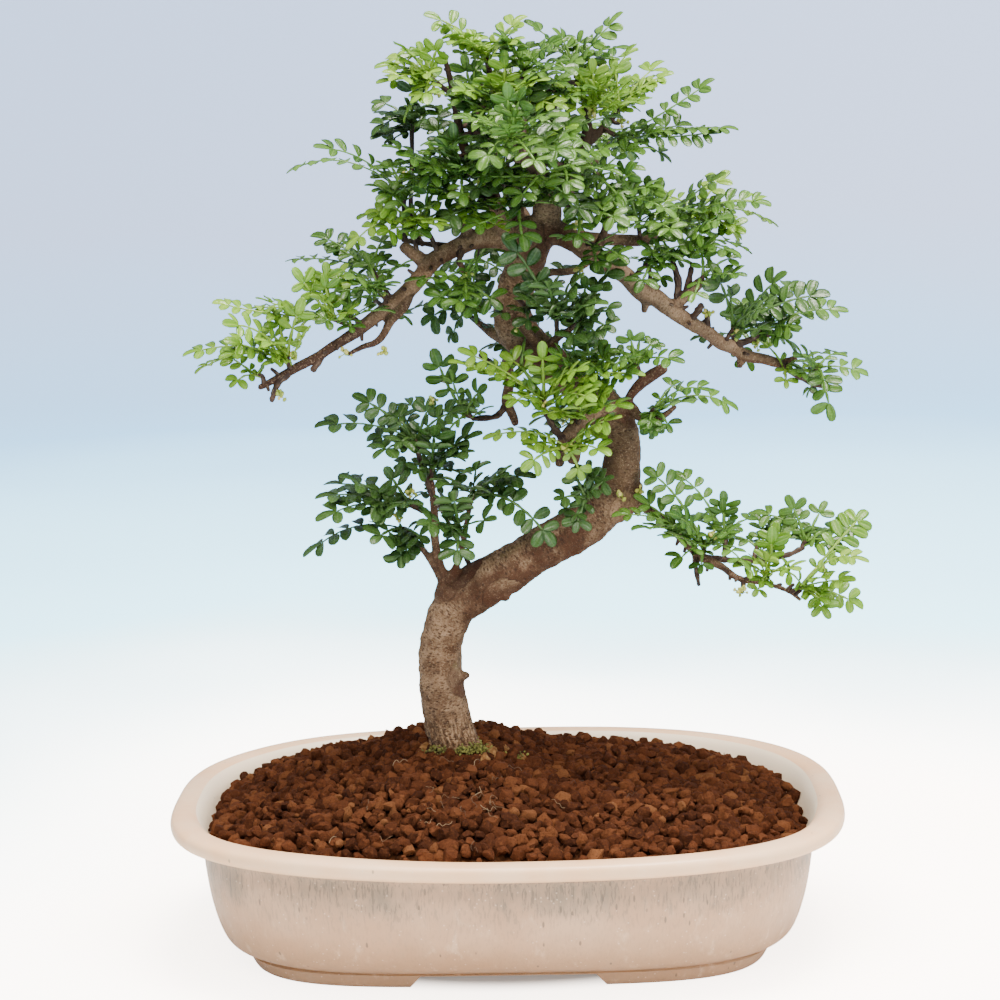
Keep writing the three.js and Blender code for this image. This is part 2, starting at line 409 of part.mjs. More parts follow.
// Leaf sprays: where the twig leaves the wood, where the bud sits, the leaf tone, and the
// leaves as tip x, z, y, then how far the rib bows up and how far the blade turns to the front
const SPRAYS = {
  left_tip: [[-86, 240.5, -16], [-87, 246, -17], 'new', [[-130, 247, -24, 2, 8],
    [-126, 240, -8, 2, 6], [-112, 259, -38, 3, 40], [-97, 257, 0, 2, 45], [-80, 268, -26, 1, 60]]],
  left_mid: [[-56, 257, -9], [-68, 261.5, -13], 'new', [[-116, 269.5, -18, -2, 14],
    [-82, 281, -22, 1, 35], [-61, 283, -4, 2, 40], [-57, 263, -26, 1, 30]]],
  left_inner: [[-44, 266.6, -7], [-48, 272, -10], 'mid', [[-79, 267, -12, 2, 15],
    [-61, 277, -30, 2, 40], [-36, 281, -26, 3, 25]]],
  left_upper: [[-43, 268, -4], [-51, 281, 5], 'mid', [[-86, 285.5, 8, 1, 12],
    [-62, 291, -8, 2, 40], [-44, 294, 18, 2, 30], [-70, 277, 26, 2, 10]]],
  left_over: [[-32, 286, -3], [-34, 299, -6], 'new', [[-62, 287, -16, 5, 12],
    [-57, 302, 6, 2, 30], [-47, 309, -14, 1, 50], [-18, 310, -18, 1, 30]]],
  left_shoot: [[-37, 293, 4], [-37, 312, 2], 'mid', [[-85, 321, 6, 6, 6], [-50, 311, -14, 2, 50],
    [-44, 325, 14, 1, 60], [-24, 322, -10, 1, 50]]],
  left_high: [[-34, 314, 14], [-33, 340, 12], 'dark', [[-50, 333, 4, 4, 20], [-49, 348, 18, 2, 15],
    [-45, 343, -8, 1, 15], [-32, 357, 6, 1, 80], [-28, 345, 36, 2, 10]]],
  mid_left: [[-9, 259.5, 20], [-13, 264, 22], 'dark', [[-38, 262, 30, 3, 15],
    [-20, 251, 24, -1, 20], [-28, 274, 14, 1, 40], [-8, 280, 34, 2, 40]]],
  mid_left_front: [[-14, 281, -10], [-13, 277, -13], 'mid', [[-38, 276, -18, 2, 12],
    [-28, 266, -22, 1, 40], [2, 264, -22, 1, 50]]],
  centre_front: [[24, 251.5, -12], [24, 260, -22], 'dark', [[4, 293, -30, 1, 65],
    [8, 268, -34, 1, 30], [45, 264, -32, 2, 20]]],
  centre_front_right: [[31, 256, -18], [34, 259, -19], 'dark', [[48, 253, -28, 1, 40],
    [50, 264, -22, 1, 40], [50, 287, -8, 1, 55], [28, 247, -34, 1, 30]]],
  centre_bright: [[18.2, 223, -22], [18.4, 226.5, -23], 'new', [[-20, 242, -34, 1, 12],
    [60, 235, -30, 3, 12], [3, 222.5, -44, 2, 20], [1, 245, -12, 2, 55], [18, 248, -34, 1, 75],
    [36, 238, -48, 2, 50]]],
  centre_low: [[25, 204.5, -20], [27.5, 206.5, -25], 'new', [[-8, 210, -32, 4, 15],
    [49, 217, -36, 3, 20], [34, 191, -26, 1, 60], [45, 202, -40, 2, 40]]],
  centre_mid: [[31, 214.5, -14], [33, 219, -20], 'new', [[54, 222, -36, 2, 15],
    [14, 218, -36, 2, 20], [47, 230, -30, 2, 40]]],
  centre_right: [[40, 226, -2], [38.5, 232, -14], 'mid', [[22, 246, -34, 1, 50],
    [46, 247, -26, 1, 50], [36, 255, -16, 1, 60]]],
  trunk_front: [[38, 180, -8], [35, 185, -19], 'dark', [[30, 197, -26, 0, 60],
    [22, 184, -26, 1, 45], [30, 170, -26, 0, 70], [46, 193, -26, 1, 40]]],
  low_right_near: [[83, 159.5, -14], [84, 164, -17], 'mid', [[46, 177, -26, 3, 20],
    [60, 196, -12, 3, 45], [54, 171, -36, 2, 10], [70, 153, -36, 2, 20],
    [103, 152, -42, 3, 10]]],
  low_right_stub: [[92.5, 164.5, -11], [92.5, 168, -11], 'mid', [[92, 186, -16, 0, 80],
    [72, 194, 0, 3, 30], [106, 174, -4, 2, 30]]],
  low_right_middle: [[104.7, 157, -10], [106, 163, -7], 'mid', [[84, 164, 4, 3, 20],
    [121, 173, 4, 2, 20], [110, 175, 12, 1, 40], [118, 164, -20, 2, 30]]],
  low_right_front: [[107, 148, -19], [110, 150.5, -25], 'new', [[112, 170, -34, 0, 85],
    [96, 154, -40, 2, 30], [123, 152, -42, 2, 20], [104, 142, -32, 0, 60]]],
  low_right_top: [[124.5, 162, -7], [126, 165, -6], 'mid', [[104, 176, 2, 3, 30],
    [134, 180, -2, 1, 40], [152, 168, 2, 3, 15], [140, 160, -18, 2, 40]]],
  low_right_far: [[120, 143.6, -21], [124.5, 146, -25], 'new', [[151, 177, -14, 2, 50],
    [151, 154, -34, 7, 10], [150, 136, -26, 1, 40], [136, 131, -36, 1, 20]]],
  mid_right_top: [[59, 232, -9], [56.5, 240.5, -14], 'mid', [[54, 254, -20, 0, 60],
    [66, 250, -4, 1, 30], [77, 239, -26, 2, 30], [46, 246, -6, 1, 40]]],
  mid_right: [[61, 217.5, -12], [64, 221.5, -14], 'mid', [[88, 226, -24, 5, 25],
    [99, 219, -12, 5, 10], [74, 232, -4, 2, 50], [71, 210, -24, 1, 50]]],
  right_tip: [[128, 231.5, 22], [131, 237.5, 19], 'mid', [[152, 233, 18, 1, 25],
    [137, 214, 12, 0, 75], [121, 241, 2, 2, 60], [142, 242, 40, 2, 20]]],
  right_fork: [[104, 249.5, 15], [107.5, 254, 13], 'mid', [[143, 260, 12, 2, 15],
    [124, 253, 2, 1, 45], [122, 244, 22, 1, 30]]],
  right_outer: [[93, 248, 15], [97, 254.5, 9], 'dark', [[135, 267, 4, 2, 40],
    [112, 262, -16, 2, 45], [125, 271, 22, 3, 12], [88, 279, 4, 1, 60]]],
  right_back_top: [[78, 296.5, 40], [81, 301, 41], 'new', [[115, 295, 48, 3, 8],
    [112, 303, 32, 3, 20], [94, 317, 50, 1, 20], [99, 289, 62, 2, 20]]],
  right_top: [[69, 292.5, 34], [70, 297.5, 27], 'mid', [[93, 316, 18, 2, 20],
    [112, 304, 12, 3, 25], [62, 313, 20, 1, 50]]],
  right_inner: [[72, 281.5, 14], [72.4, 285.2, 14], 'mid', [[100, 282, 2, 3, 15],
    [105, 284, 26, 4, 10], [59, 284, 0, 1, 45], [66, 277, 2, 1, 50]]],
  right_shoulder: [[46.5, 302, -4], [47.5, 306, -6], 'mid', [[56, 322, -12, 0, 55],
    [68, 311, -16, 2, 20], [34, 300, -26, 2, 20], [74, 299, -22, 3, 15]]],
  right_shoulder_back: [[59, 291, 25.5], [58, 298, 18], 'mid', [[68, 315, 12, 1, 30],
    [84, 301, 4, 3, 10], [76, 291, -6, 2, 20]]],
  crown_left: [[-16, 351, -9.5], [-25, 358, -15], 'new', [[-46, 362, -24, 2, 15],
    [-42, 365, -2, 3, 30], [-38, 371, -28, 2, 40], [-41, 357, -36, 1, 20], [-20, 372, -24, 1, 60]]],
  crown_left_low: [[-6, 320, -7], [-13, 319, -16], 'mid', [[-50, 322, -20, 2, 10],
    [-38, 328, -34, 1, 30], [4, 322, -40, 2, 30], [-44, 331, -30, 2, 20]]],
  crown_flower: [[-14, 303, -4], [-14.5, 307, -4.5], 'new', [[34, 338, -44, 0, 15],
    [24, 312, -34, 5, 12], [-38, 318, -16, 2, 12], [-4, 296, -26, 2, 30]]],
  crown_peak_left: [[-1.5, 362, 0], [-2, 366, -1], 'new', [[-26, 382, -2, 2, 40],
    [-17, 371, -26, 1, 15], [14, 381, 4, 1, 30], [10, 370, -26, 1, 50]]],
  crown_top_front: [[3, 344, 2], [4.5, 347, -14], 'new', [[5, 368, -20, 0, 85],
    [22, 356, -34, 2, 20], [-16, 352, -34, 2, 20]]],
  crown_top_right: [[13, 357, -9], [13.5, 361, -11], 'mid', [[28, 372, -22, 1, 40],
    [34, 357, -32, 2, 20], [18, 366, 14, 2, 30], [2, 374, -24, 1, 50]]],
  crown_peak_right: [[34, 357, 7], [33, 361, 7], 'mid', [[14, 378, 4, 2, 20], [53, 382, 8, -1, 35],
    [44, 370, -10, 1, 60], [56, 367, -4, 2, 20]]],
  crown_right: [[38, 340, 8], [41, 345, 0], 'new', [[40, 364, -6, 0, 85], [57, 368, -18, 2, 20],
    [24, 353, -18, 2, 20], [54, 350, -24, 1, 50]]],
  crown_right_edge: [[49, 341, 12], [51, 344, 11], 'new', [[72, 357, 6, 2, 25],
    [68, 361, 22, 2, 15], [48, 363, 14, 1, 70], [60, 345, -14, 1, 30]]],
  crown_right_low: [[44, 336, 10], [51, 332.5, 15], 'mid', [[98, 335, 18, 3, 8],
    [72, 321, 22, 3, 20], [60, 325, -6, 1, 30], [42, 321, 26, 1, 40]]],
  crown_front: [[8, 331, -55], [7, 334.5, -56], 'mid', [[-16, 340, -66, 2, 20],
    [30, 340, -70, 2, 20], [6, 354, -64, 0, 70], [40, 324, -60, 1, 30]]],
  crown_back_left: [[-4, 326, 72], [-5, 329.5, 73], 'mid', [[-30, 330, 84, 3, 15],
    [14, 336, 92, 2, 20], [-6, 345, 88, 1, -60]]],
  crown_back_middle: [[-7, 345, 24], [-8, 348.5, 25], 'mid', [[-28, 358, 34, 3, 20],
    [-10, 352, 56, 2, 20], [-2, 366, 34, 1, -50]]],
  crown_back_right: [[46, 327, 64], [47, 330.5, 65], 'mid', [[72, 334, 68, 3, 15],
    [46, 345, 84, 1, -50], [24, 340, 60, 2, 20]]],
  back_middle: [[18, 244, 45], [16, 247, 48.5], 'dark', [[-8, 246, 52, 3, 15],
    [42, 250, 54, 3, 15], [18, 262, 64, 1, -50]]],
  back_low: [[37, 217, 36], [35.5, 220, 37], 'dark', [[12, 214, 46, 3, 15], [54, 224, 52, 2, 20],
    [34, 228, 62, 1, -40]]],
  back_twig: [[-10.5, 219, 20], [-14, 220.5, 19.5], 'mid', [[-26, 247, 12, 0, 60],
    [-43, 225, 20, 1, 8], [-5, 232, 10, 1, 50]]],
  low_left_top: [[-34.5, 207, -10], [-35, 210.5, -10.5], 'dark', [[-60, 229, -8, 1, 45],
    [-76, 216, -16, 2, 10], [-53, 202, -26, 1, 30], [-14, 222, -18, 2, 40]]],
  low_left_right: [[-29, 196, -7], [-28.5, 199.5, -8], 'dark', [[-8, 212, -20, 1, 45],
    [-27, 216, -26, 0, 70], [-14, 202, -30, 1, 40], [-45, 198, -14, 1, 30]]],
  low_left_cascade: [[-13, 183.5, -9], [-12, 187, -10.5], 'dark', [[14, 193, -16, 3, 18],
    [23, 162, -24, 6, 45], [-10, 200, -26, 1, 40], [-26, 190, -34, 2, 30]]],
  low_left_side: [[-28, 179, -5], [-38, 183.5, -11], 'dark', [[-76, 187, -16, 2, 10],
    [-76, 177, -26, 3, 10], [-73, 192, 4, 3, 10], [-47, 198, -24, 1, 50]]],
  low_left_low: [[-38.5, 171, -8], [-41.2, 173.6, -9.5], 'dark', [[-83, 161, -18, 5, 20],
    [-42, 156, -22, 0, -80], [-54, 167, -26, 1, 60], [-30, 166, -28, 1, 60]]],
  low_left_front: [[-16, 168, -7], [-18, 173, -20], 'dark', [[-19, 157, -36, 1, 60],
    [-35, 175, -36, 1, 40], [-2, 176, -32, 1, 40]]],
};

const LEAF_COLOURS = { new: 0x9bbf3f, mid: 0x5c9136, dark: 0x3f7033 };

// Where a spray's bud sits: near its limb's end it closes up to that end
function budPlace([root, bud]) {
  const from = seen(...root);
  const centre = seen(...bud);
  const ahead = centre.clone().sub(from).normalize();
  const atEnd = from.distanceTo(centre) < SEAT_REACH;
  if (atEnd) {
    centre.copy(from).addScaledVector(ahead, BUD_RADIUS + END_SEAT);
  }
  return { from, centre, ahead, atEnd };
}

// Twig from the wood to just short of the spray's bud
function sprayTwig(spray) {
  const { from, centre, ahead } = budPlace(spray);
  const to = centre.addScaledVector(ahead, -(BUD_RADIUS + CLEARANCE));
  const across = RING_START.clone();
  return loft([
    limbRing(from, ahead, across, STALK_FOOT_RADIUS, STALK_SIDES),
    limbRing(to, ahead, across, STALK_TIP_RADIUS, STALK_SIDES),
  ]);
}

function makeBud(spray) {
  const { centre, ahead } = budPlace(spray);
  const ball = new THREE.OctahedronGeometry(BUD_RADIUS);
  ball.applyQuaternion(new THREE.Quaternion().setFromUnitVectors(UP, ahead));
  ball.translate(centre.x, centre.y, centre.z);
  return solidOf(ball);
}

// Compound leaf: one thin blade whose outline is cut to the rib between its leaflets
function makeLeaf(bud, tip, bow, turn, ahead) {
  const start = bud.clone().lerp(tip, (0.5 * BUD_RADIUS) / bud.distanceTo(tip));
  const length = start.distanceTo(tip);
  const middle = start.clone().lerp(tip, 0.5).addScaledVector(UP, 2 * bow);
  middle.addScaledVector(ahead, 0.12 * length);
  const rib = new THREE.QuadraticBezierCurve3(start, middle, tip);
  const facing = THREE.MathUtils.degToRad(turn);
  const wanted = UP.clone().multiplyScalar(Math.cos(facing));
  wanted.addScaledVector(FORWARD, Math.sin(facing));
  const pairs = length > TWO_PAIRS_FROM ? 2 : 1;
  const stalk = length > 20 ? 0.3 : 0.22;
  const pitch = (1 - stalk) / (pairs + 0.75);
  const reach = Math.min(0.27 * length, LEAF_SIDE_MAX);
  const at = (share, side, rise) => {
    const ribPoint = rib.getPoint(Math.min(share, 1));
    const along = rib.getTangent(Math.min(share, 1));
    const normal = wanted.clone().addScaledVector(along, -wanted.dot(along)).normalize();
    const across = new THREE.Vector3().crossVectors(along, normal);
    return ribPoint.addScaledVector(across, side).addScaledVector(normal, rise);
  };
  const points = [];
  const triangles = [];
  const put = (point) => points.push(point) - 1;
  const station = (share) => ({
    ridge: put(at(share, 0, RIB_HEIGHT)),
    left: put(at(share, -RIB_HALF, 0)),
    right: put(at(share, RIB_HALF, 0)),
  });
  const face = (a, b, c, flip) => triangles.push(flip ? [a, c, b] : [a, b, c]);
  const stations = [station(0)];
  for (let pair = 0; pair <= pairs; pair++) {
    stations.push(station(stalk + pair * pitch));
  }
  const underside = (here, next) => {
    face(here.left, next.right, here.right, false);
    face(here.left, next.left, next.right, false);
  };
  const [foot, first] = stations;
  triangles.push([foot.ridge, foot.left, foot.right]);
  underside(foot, first);
  for (const side of ['left', 'right']) {
    const flip = side === 'right';
    face(foot.ridge, first.ridge, foot[side], flip);
    face(first.ridge, first[side], foot[side], flip);
  }
  for (let pair = 0; pair < pairs; pair++) {
    const here = stations[pair + 1];
    const next = stations[pair + 2];
    const share = stalk + pair * pitch;
    underside(here, next);
    for (const side of ['left', 'right']) {
      const flip = side === 'right';
      const sign = flip ? 1 : -1;
      const wide = reach * (pair === 0 ? 0.85 : 1);
      const outerA = put(at(share + 0.3 * pitch, sign * wide, 0.5));
      const outerB = put(at(share + 0.95 * pitch, sign * wide * 0.94, 0.5));
      face(here.ridge, outerA, here[side], flip);
      face(here.ridge, next.ridge, outerA, flip);
      face(next.ridge, outerB, outerA, flip);
      face(next.ridge, next[side], outerB, flip);
      face(here[side], outerA, next[side], flip);
      face(next[side], outerA, outerB, flip);
    }
  }
  const last = stations[pairs + 1];
  const shoulder = stalk + (pairs + 0.4) * pitch;
  const shoulderLeft = put(at(shoulder, -0.34 * reach, 0.2));
  const shoulderRight = put(at(shoulder, 0.34 * reach, 0.2));
  const end = put(at(1, 0, 0));
  face(last.ridge, shoulderLeft, last.left, false);
  face(last.ridge, end, shoulderLeft, false);
  face(last.ridge, shoulderRight, end, false);
  face(last.ridge, last.right, shoulderRight, false);
  face(last.left, shoulderLeft, end, false);
  face(last.left, end, last.right, false);
  face(last.right, end, shoulderRight, false);
  return solidFrom(points, triangles);
}

// True when two solids keep the clearance
function clear(solid, other) {
  const a = solid.boundingBox();
  const b = other.boundingBox();
  for (let axis = 0; axis < 3; axis++) {
    if (a.min[axis] > b.max[axis] + CLEARANCE || b.min[axis] > a.max[axis] + CLEARANCE) {
      return true;
    }
  }
  return solid.minGap(other, 2 * CLEARANCE) >= 0.8 * CLEARANCE;
}

// A leaf that would touch a neighbour is bent a little, and left out where it never clears
function growLeaves(sprays, fixed) {
  const random = seededRandom(SEED + 1);
  const tries = 12;
  const longest = Math.max(...sprays.map((spray) => spray.leaves.length));
  for (let turn = 0; turn < longest; turn++) {
    for (const spray of sprays.filter(({ leaves }) => leaves.length > turn)) {
      const [x, z, y, bow, twist] = spray.leaves[turn];
      const others = fixed.concat(sprays.filter((other) => other !== spray).map(({ solid }) => solid));
      for (let attempt = 0; attempt < tries; attempt++) {
        const sway = attempt * 0.9;
        const tip = seen(
          x + (random() - 0.5) * sway,
          z + (random() - 0.5) * sway,
          y + (random() - 0.5) * 2.4 * sway,
        );
        const leaf = makeLeaf(spray.start, tip, bow + (random() - 0.5) * 0.5 * sway, twist, spray.ahead);
        if (others.every((other) => clear(leaf, other))) {
          spray.solid = spray.solid.add(leaf);
          break;
        }
      }
    }
  }
}

// Assembly
const pot = makePot();
const soil = makeSoil();
const limbs = [
  makeTrunk(),
  ...BRANCHES.map((points) => limb(points, BRANCH_SIDES)),
  ...UPRIGHTS.map((points) => limb(points, UPRIGHT_SIDES)),
  ...TWIGS.map((points) => limb(points, TWIG_SIDES)),
  ...Object.values(SPRAYS).filter((spray) => !budPlace(spray).atEnd).map(sprayTwig),
];
const wood = limbs.reduce((whole, next) => whole.add(next));
const sprays = Object.entries(SPRAYS).map(([name, spray]) => {
  const [, , tone, leaves] = spray;
  const { centre, ahead } = budPlace(spray);
  return { name, tone, leaves, start: centre, ahead, solid: makeBud(spray) };
});
growLeaves(sprays, [wood, soil, pot]);

const tree = new THREE.Group();

function addPiece(name, geometry, colour, roughness) {
  const material = new THREE.MeshStandardMaterial({ color: colour, roughness, metalness: 0 });
  const mesh = new THREE.Mesh(geometry, material);
  mesh.name = name;
  tree.add(mesh);
  return mesh;
}

addPiece('pot', geometryOf(pot), 0xd8c6b6, 0.45);
addPiece('soil', geometryOf(soil), 0x6e3d25, 0.95);
addPiece('wood', geometryOf(wood), 0x77604e, 0.85);
for (const [name, side] of [['drainage_mesh_left', -1], ['drainage_mesh_right', 1]]) {
  const mesh = addPiece(name, makeDrainMesh(), 0x2d2d2b, 0.6);
  mesh.position.set(side * DRAIN_OFFSET, 0, POT_FLOOR + CLEARANCE + MESH_THICK / 2);
}
for (const { name, tone, solid } of sprays) {
  addPiece(`leaves_${name}`, geometryOf(solid), LEAF_COLOURS[tone], 0.4);
}

// The origin is the bottom centre of everything together
const bounds = new THREE.Box3().setFromObject(tree);
const centre = bounds.getCenter(new THREE.Vector3());
tree.position.set(-centre.x, -centre.y, -bounds.min.z);

export default tree;
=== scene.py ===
import math
import random

import bmesh
import bpy
import numpy as np
from mathutils import Matrix, Vector, kdtree, noise


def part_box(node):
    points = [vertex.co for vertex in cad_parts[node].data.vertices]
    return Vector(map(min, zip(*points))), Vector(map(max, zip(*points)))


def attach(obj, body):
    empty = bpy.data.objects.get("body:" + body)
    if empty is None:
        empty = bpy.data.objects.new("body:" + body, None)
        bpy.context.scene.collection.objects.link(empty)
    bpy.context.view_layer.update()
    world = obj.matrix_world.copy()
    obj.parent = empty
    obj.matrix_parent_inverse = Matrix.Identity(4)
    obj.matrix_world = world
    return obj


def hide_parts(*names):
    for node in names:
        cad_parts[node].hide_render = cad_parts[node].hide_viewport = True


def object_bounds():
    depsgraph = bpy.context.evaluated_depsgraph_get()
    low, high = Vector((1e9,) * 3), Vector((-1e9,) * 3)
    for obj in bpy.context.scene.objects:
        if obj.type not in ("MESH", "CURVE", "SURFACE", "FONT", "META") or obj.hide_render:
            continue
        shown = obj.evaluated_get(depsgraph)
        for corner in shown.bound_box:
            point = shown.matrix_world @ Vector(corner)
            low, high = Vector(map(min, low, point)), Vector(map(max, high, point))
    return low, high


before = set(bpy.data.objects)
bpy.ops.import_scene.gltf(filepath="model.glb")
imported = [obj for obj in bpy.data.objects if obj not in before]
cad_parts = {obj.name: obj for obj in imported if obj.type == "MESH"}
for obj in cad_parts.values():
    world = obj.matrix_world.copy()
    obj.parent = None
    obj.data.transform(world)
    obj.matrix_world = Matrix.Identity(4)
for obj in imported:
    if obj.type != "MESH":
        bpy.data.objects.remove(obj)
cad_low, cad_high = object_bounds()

MM = 0.001
SEED = 20727
UP = np.array([0.0, 0.0, 1.0])
FORWARD = np.array([0.0, -1.0, 0.0])

# Where the pot stands in the frame
pot_low, pot_high = (np.array(corner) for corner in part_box("pot"))
POT_MIDDLE = np.array([(pot_low[0] + pot_high[0]) / 2, (pot_low[1] + pot_high[1]) / 2, pot_low[2]])

# Camera: place in mm, turns in degrees, focal length in pixels of a 1000 pixel wide image
EYE = np.array([17.8, -980.9, 344.0])
CAMERA_YAW = 1.074
CAMERA_PITCH = 9.219
CAMERA_ROLL = -1.243
FOCAL_PIXELS = 2393.33
IMAGE_PIXELS = 1000
SENSOR = 36

# Pot and soil, in mm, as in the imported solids; an oval's exponent is its superellipse's power
HALF_LENGTH, HALF_DEPTH, POT_HEIGHT = 140, 104, 61
FOOT_HEIGHT = 6.5
FOOT_GAP_FRONT, FOOT_GAP_SIDE, FOOT_SLANT = 70, 56, 5
LIP_EXPONENT, FRONT_SQUARE = 2.72, 0.25
SOIL_LENGTH, SOIL_DEPTH, SOIL_EXPONENT = 126.5, 91.0, 2.74
SOIL_TOP, SOIL_EDGE, SOIL_END_DROP, SOIL_TILT = 78.5, 57.5, 7, 2
# The soil's crest: x, and how far it rises or falls there
SOIL_CREST = [
    (-126, -4), (-90, -3.6), (-58, -2.6), (-42, 0.8), (-12, 0.8), (6, -4.5), (22, -9), (60, -8.5),
    (90, -6), (126, -3),
]


def seen(x, z, y):
    """A place listed as x and z in the upright plane through the pot's middle, as seen from
    EYE, and y, its distance behind that plane."""
    reach = (y - EYE[1]) / -EYE[1]
    return np.array([EYE[0] + (x - EYE[0]) * reach, y, EYE[2] + (z - EYE[2]) * reach])


def unit(vector):
    """The vector at length 1"""
    return vector / np.linalg.norm(vector)


def upright_to(vector, axis):
    """The part of vector square to axis, at length 1"""
    return unit(vector - axis * np.dot(vector, axis))


# Limbs: each is a list of x, z, y, radius along its middle line
TRUNK = [
    [-21, 68, 3, 11.2], [-21.5, 76, 3, 11.0], [-22.6, 83, 3, 10.4], [-24, 90, 2, 9.9],
    [-26, 100, 1, 9.5], [-27, 112, 0, 9.3], [-27, 122, 0, 9], [-24.5, 132, -1, 9],
    [-20, 141, -1, 9.5], [-10, 148.5, -2, 10.3], [1, 154.5, -3, 9.8], [11, 161, -3, 9.2],
    [25, 168.5, -4, 9.2], [38, 177.5, -4, 9.7], [47.5, 188, -3, 9], [50.3, 202, -2, 7.7],
    [50, 212, -1, 7.4], [46.5, 219, 0, 7.9], [40, 225.5, 1, 7.6], [32, 232.5, 3, 7.5],
    [23, 240.5, 4, 7.6], [14, 248, 4, 8.2], [8, 256, 4, 8.4], [6, 264, 3, 7.7],
    [8, 273, 2, 7.6], [11.5, 282, 1, 7.7], [14, 290, 0, 8.8], [16, 297, 0, 8],
]
BRANCHES = [
    [[2, 294, 0, 5.5], [-4, 293.5, -1, 4.3], [-10.5, 292, -2, 4], [-18, 288.5, -3, 3.8],
      [-25, 285, -4, 3.6], [-31.5, 277.5, -5, 3.6], [-38, 271, -6, 3.4], [-44, 266.6, -7, 3],
      [-54, 259, -9, 2.8], [-60, 254.7, -10, 2.5], [-68, 250, -12, 2.3], [-75, 245.5, -14, 2.1],
      [-82.5, 242, -15, 2], [-90, 238, -17, 1.8], [-99, 233.6, -19, 1.3]],
    [[19, 297, 1, 6.2], [31, 291.7, 2, 4.6], [39.4, 285, 4, 4.2], [47, 281, 5, 4],
      [53.4, 276, 6, 3.8], [59, 270, 8, 4], [65, 267.4, 9, 3.7], [72.5, 261.4, 11, 3.5],
      [80, 256.3, 12, 3.2], [86, 252.8, 14, 3], [91, 248.6, 15, 3], [96.7, 246.2, 16, 2.9],
      [101, 243.3, 17, 2.8], [109, 241.3, 19, 2.4], [117, 239.5, 21, 2.1], [122, 241.4, 22, 1.6]],
    [[48, 178, -5, 4.4], [54, 181, -8, 3], [58, 181.6, -9, 2.3], [62.4, 178.4, -10, 2.2],
      [69, 174, -11, 2.2], [74, 168, -12, 2.1], [78.4, 163.5, -13, 2.1], [82, 159.4, -14, 2],
      [87, 157, -15, 1.9], [92, 154.4, -16, 1.6], [96, 151, -17, 1.5], [100.4, 149, -18, 1.4],
      [107, 148, -19, 1.2], [114, 146, -20, 1.1], [120, 143.4, -21, 1.1], [124, 140, -22, 0.9]],
]
UPRIGHTS = [
    [[6, 291, 0, 5], [3, 298, -2, 4.4], [0, 306, -4, 4], [-3, 315, -6, 3.1], [-12, 330, -8, 2.2],
      [-15, 345, -9, 1.7], [-17, 357, -10, 1.4], [-19.5, 368, -11, 1.1]],
    [[12, 292, 2, 4], [9, 302, 4, 3.2], [8, 312, 7, 3], [2, 322, 14, 2.6], [-4, 334, 20, 2.1],
      [-7, 345, 24, 1.5]],
    [[20, 293, 0, 6.8], [21, 304, -2, 6], [20, 314, -3, 5], [14, 324, -2, 4], [10, 331, 0, 3.4],
      [4, 341, 2, 2.6], [1, 350, 3, 1.8], [-1.5, 362, 0, 1.2]],
    [[14, 323, -2, 3.2], [20, 334, -4, 3], [25, 341, -6, 2.6], [18, 350, -8, 2.1],
      [13, 357, -9, 1.5]],
    [[20, 308, -2, 4], [28, 318, 2, 3.4], [33, 324, 5, 3], [37, 330, 7, 2.6], [38, 338, 8, 2.1],
      [37, 348, 8, 1.5], [34, 357, 7, 1.2]],
    [[35, 328, 6, 2.2], [44, 336, 10, 1.8], [49, 341, 12, 1.3]],
    [[12, 290, 5, 5], [11, 300, 22, 4], [7, 309, 42, 3], [2, 318, 60, 2.2], [-4, 326, 72, 1.6]],
    [[19, 302, 4, 4], [30, 312, 26, 3], [38, 320, 48, 2.4], [46, 327, 64, 1.6]],
    [[19, 313, -5, 3.4], [17, 320, -24, 2.8], [12, 326, -42, 2.2], [8, 331, -55, 1.5]],
    [[33, 232, 8, 4], [30, 236, 20, 3], [24, 240, 34, 2.2], [18, 244, 45, 1.5]],
    [[50, 203, 4, 3.5], [46, 208, 16, 2.6], [40, 214, 28, 1.8], [37, 217, 36, 1.3]],
]
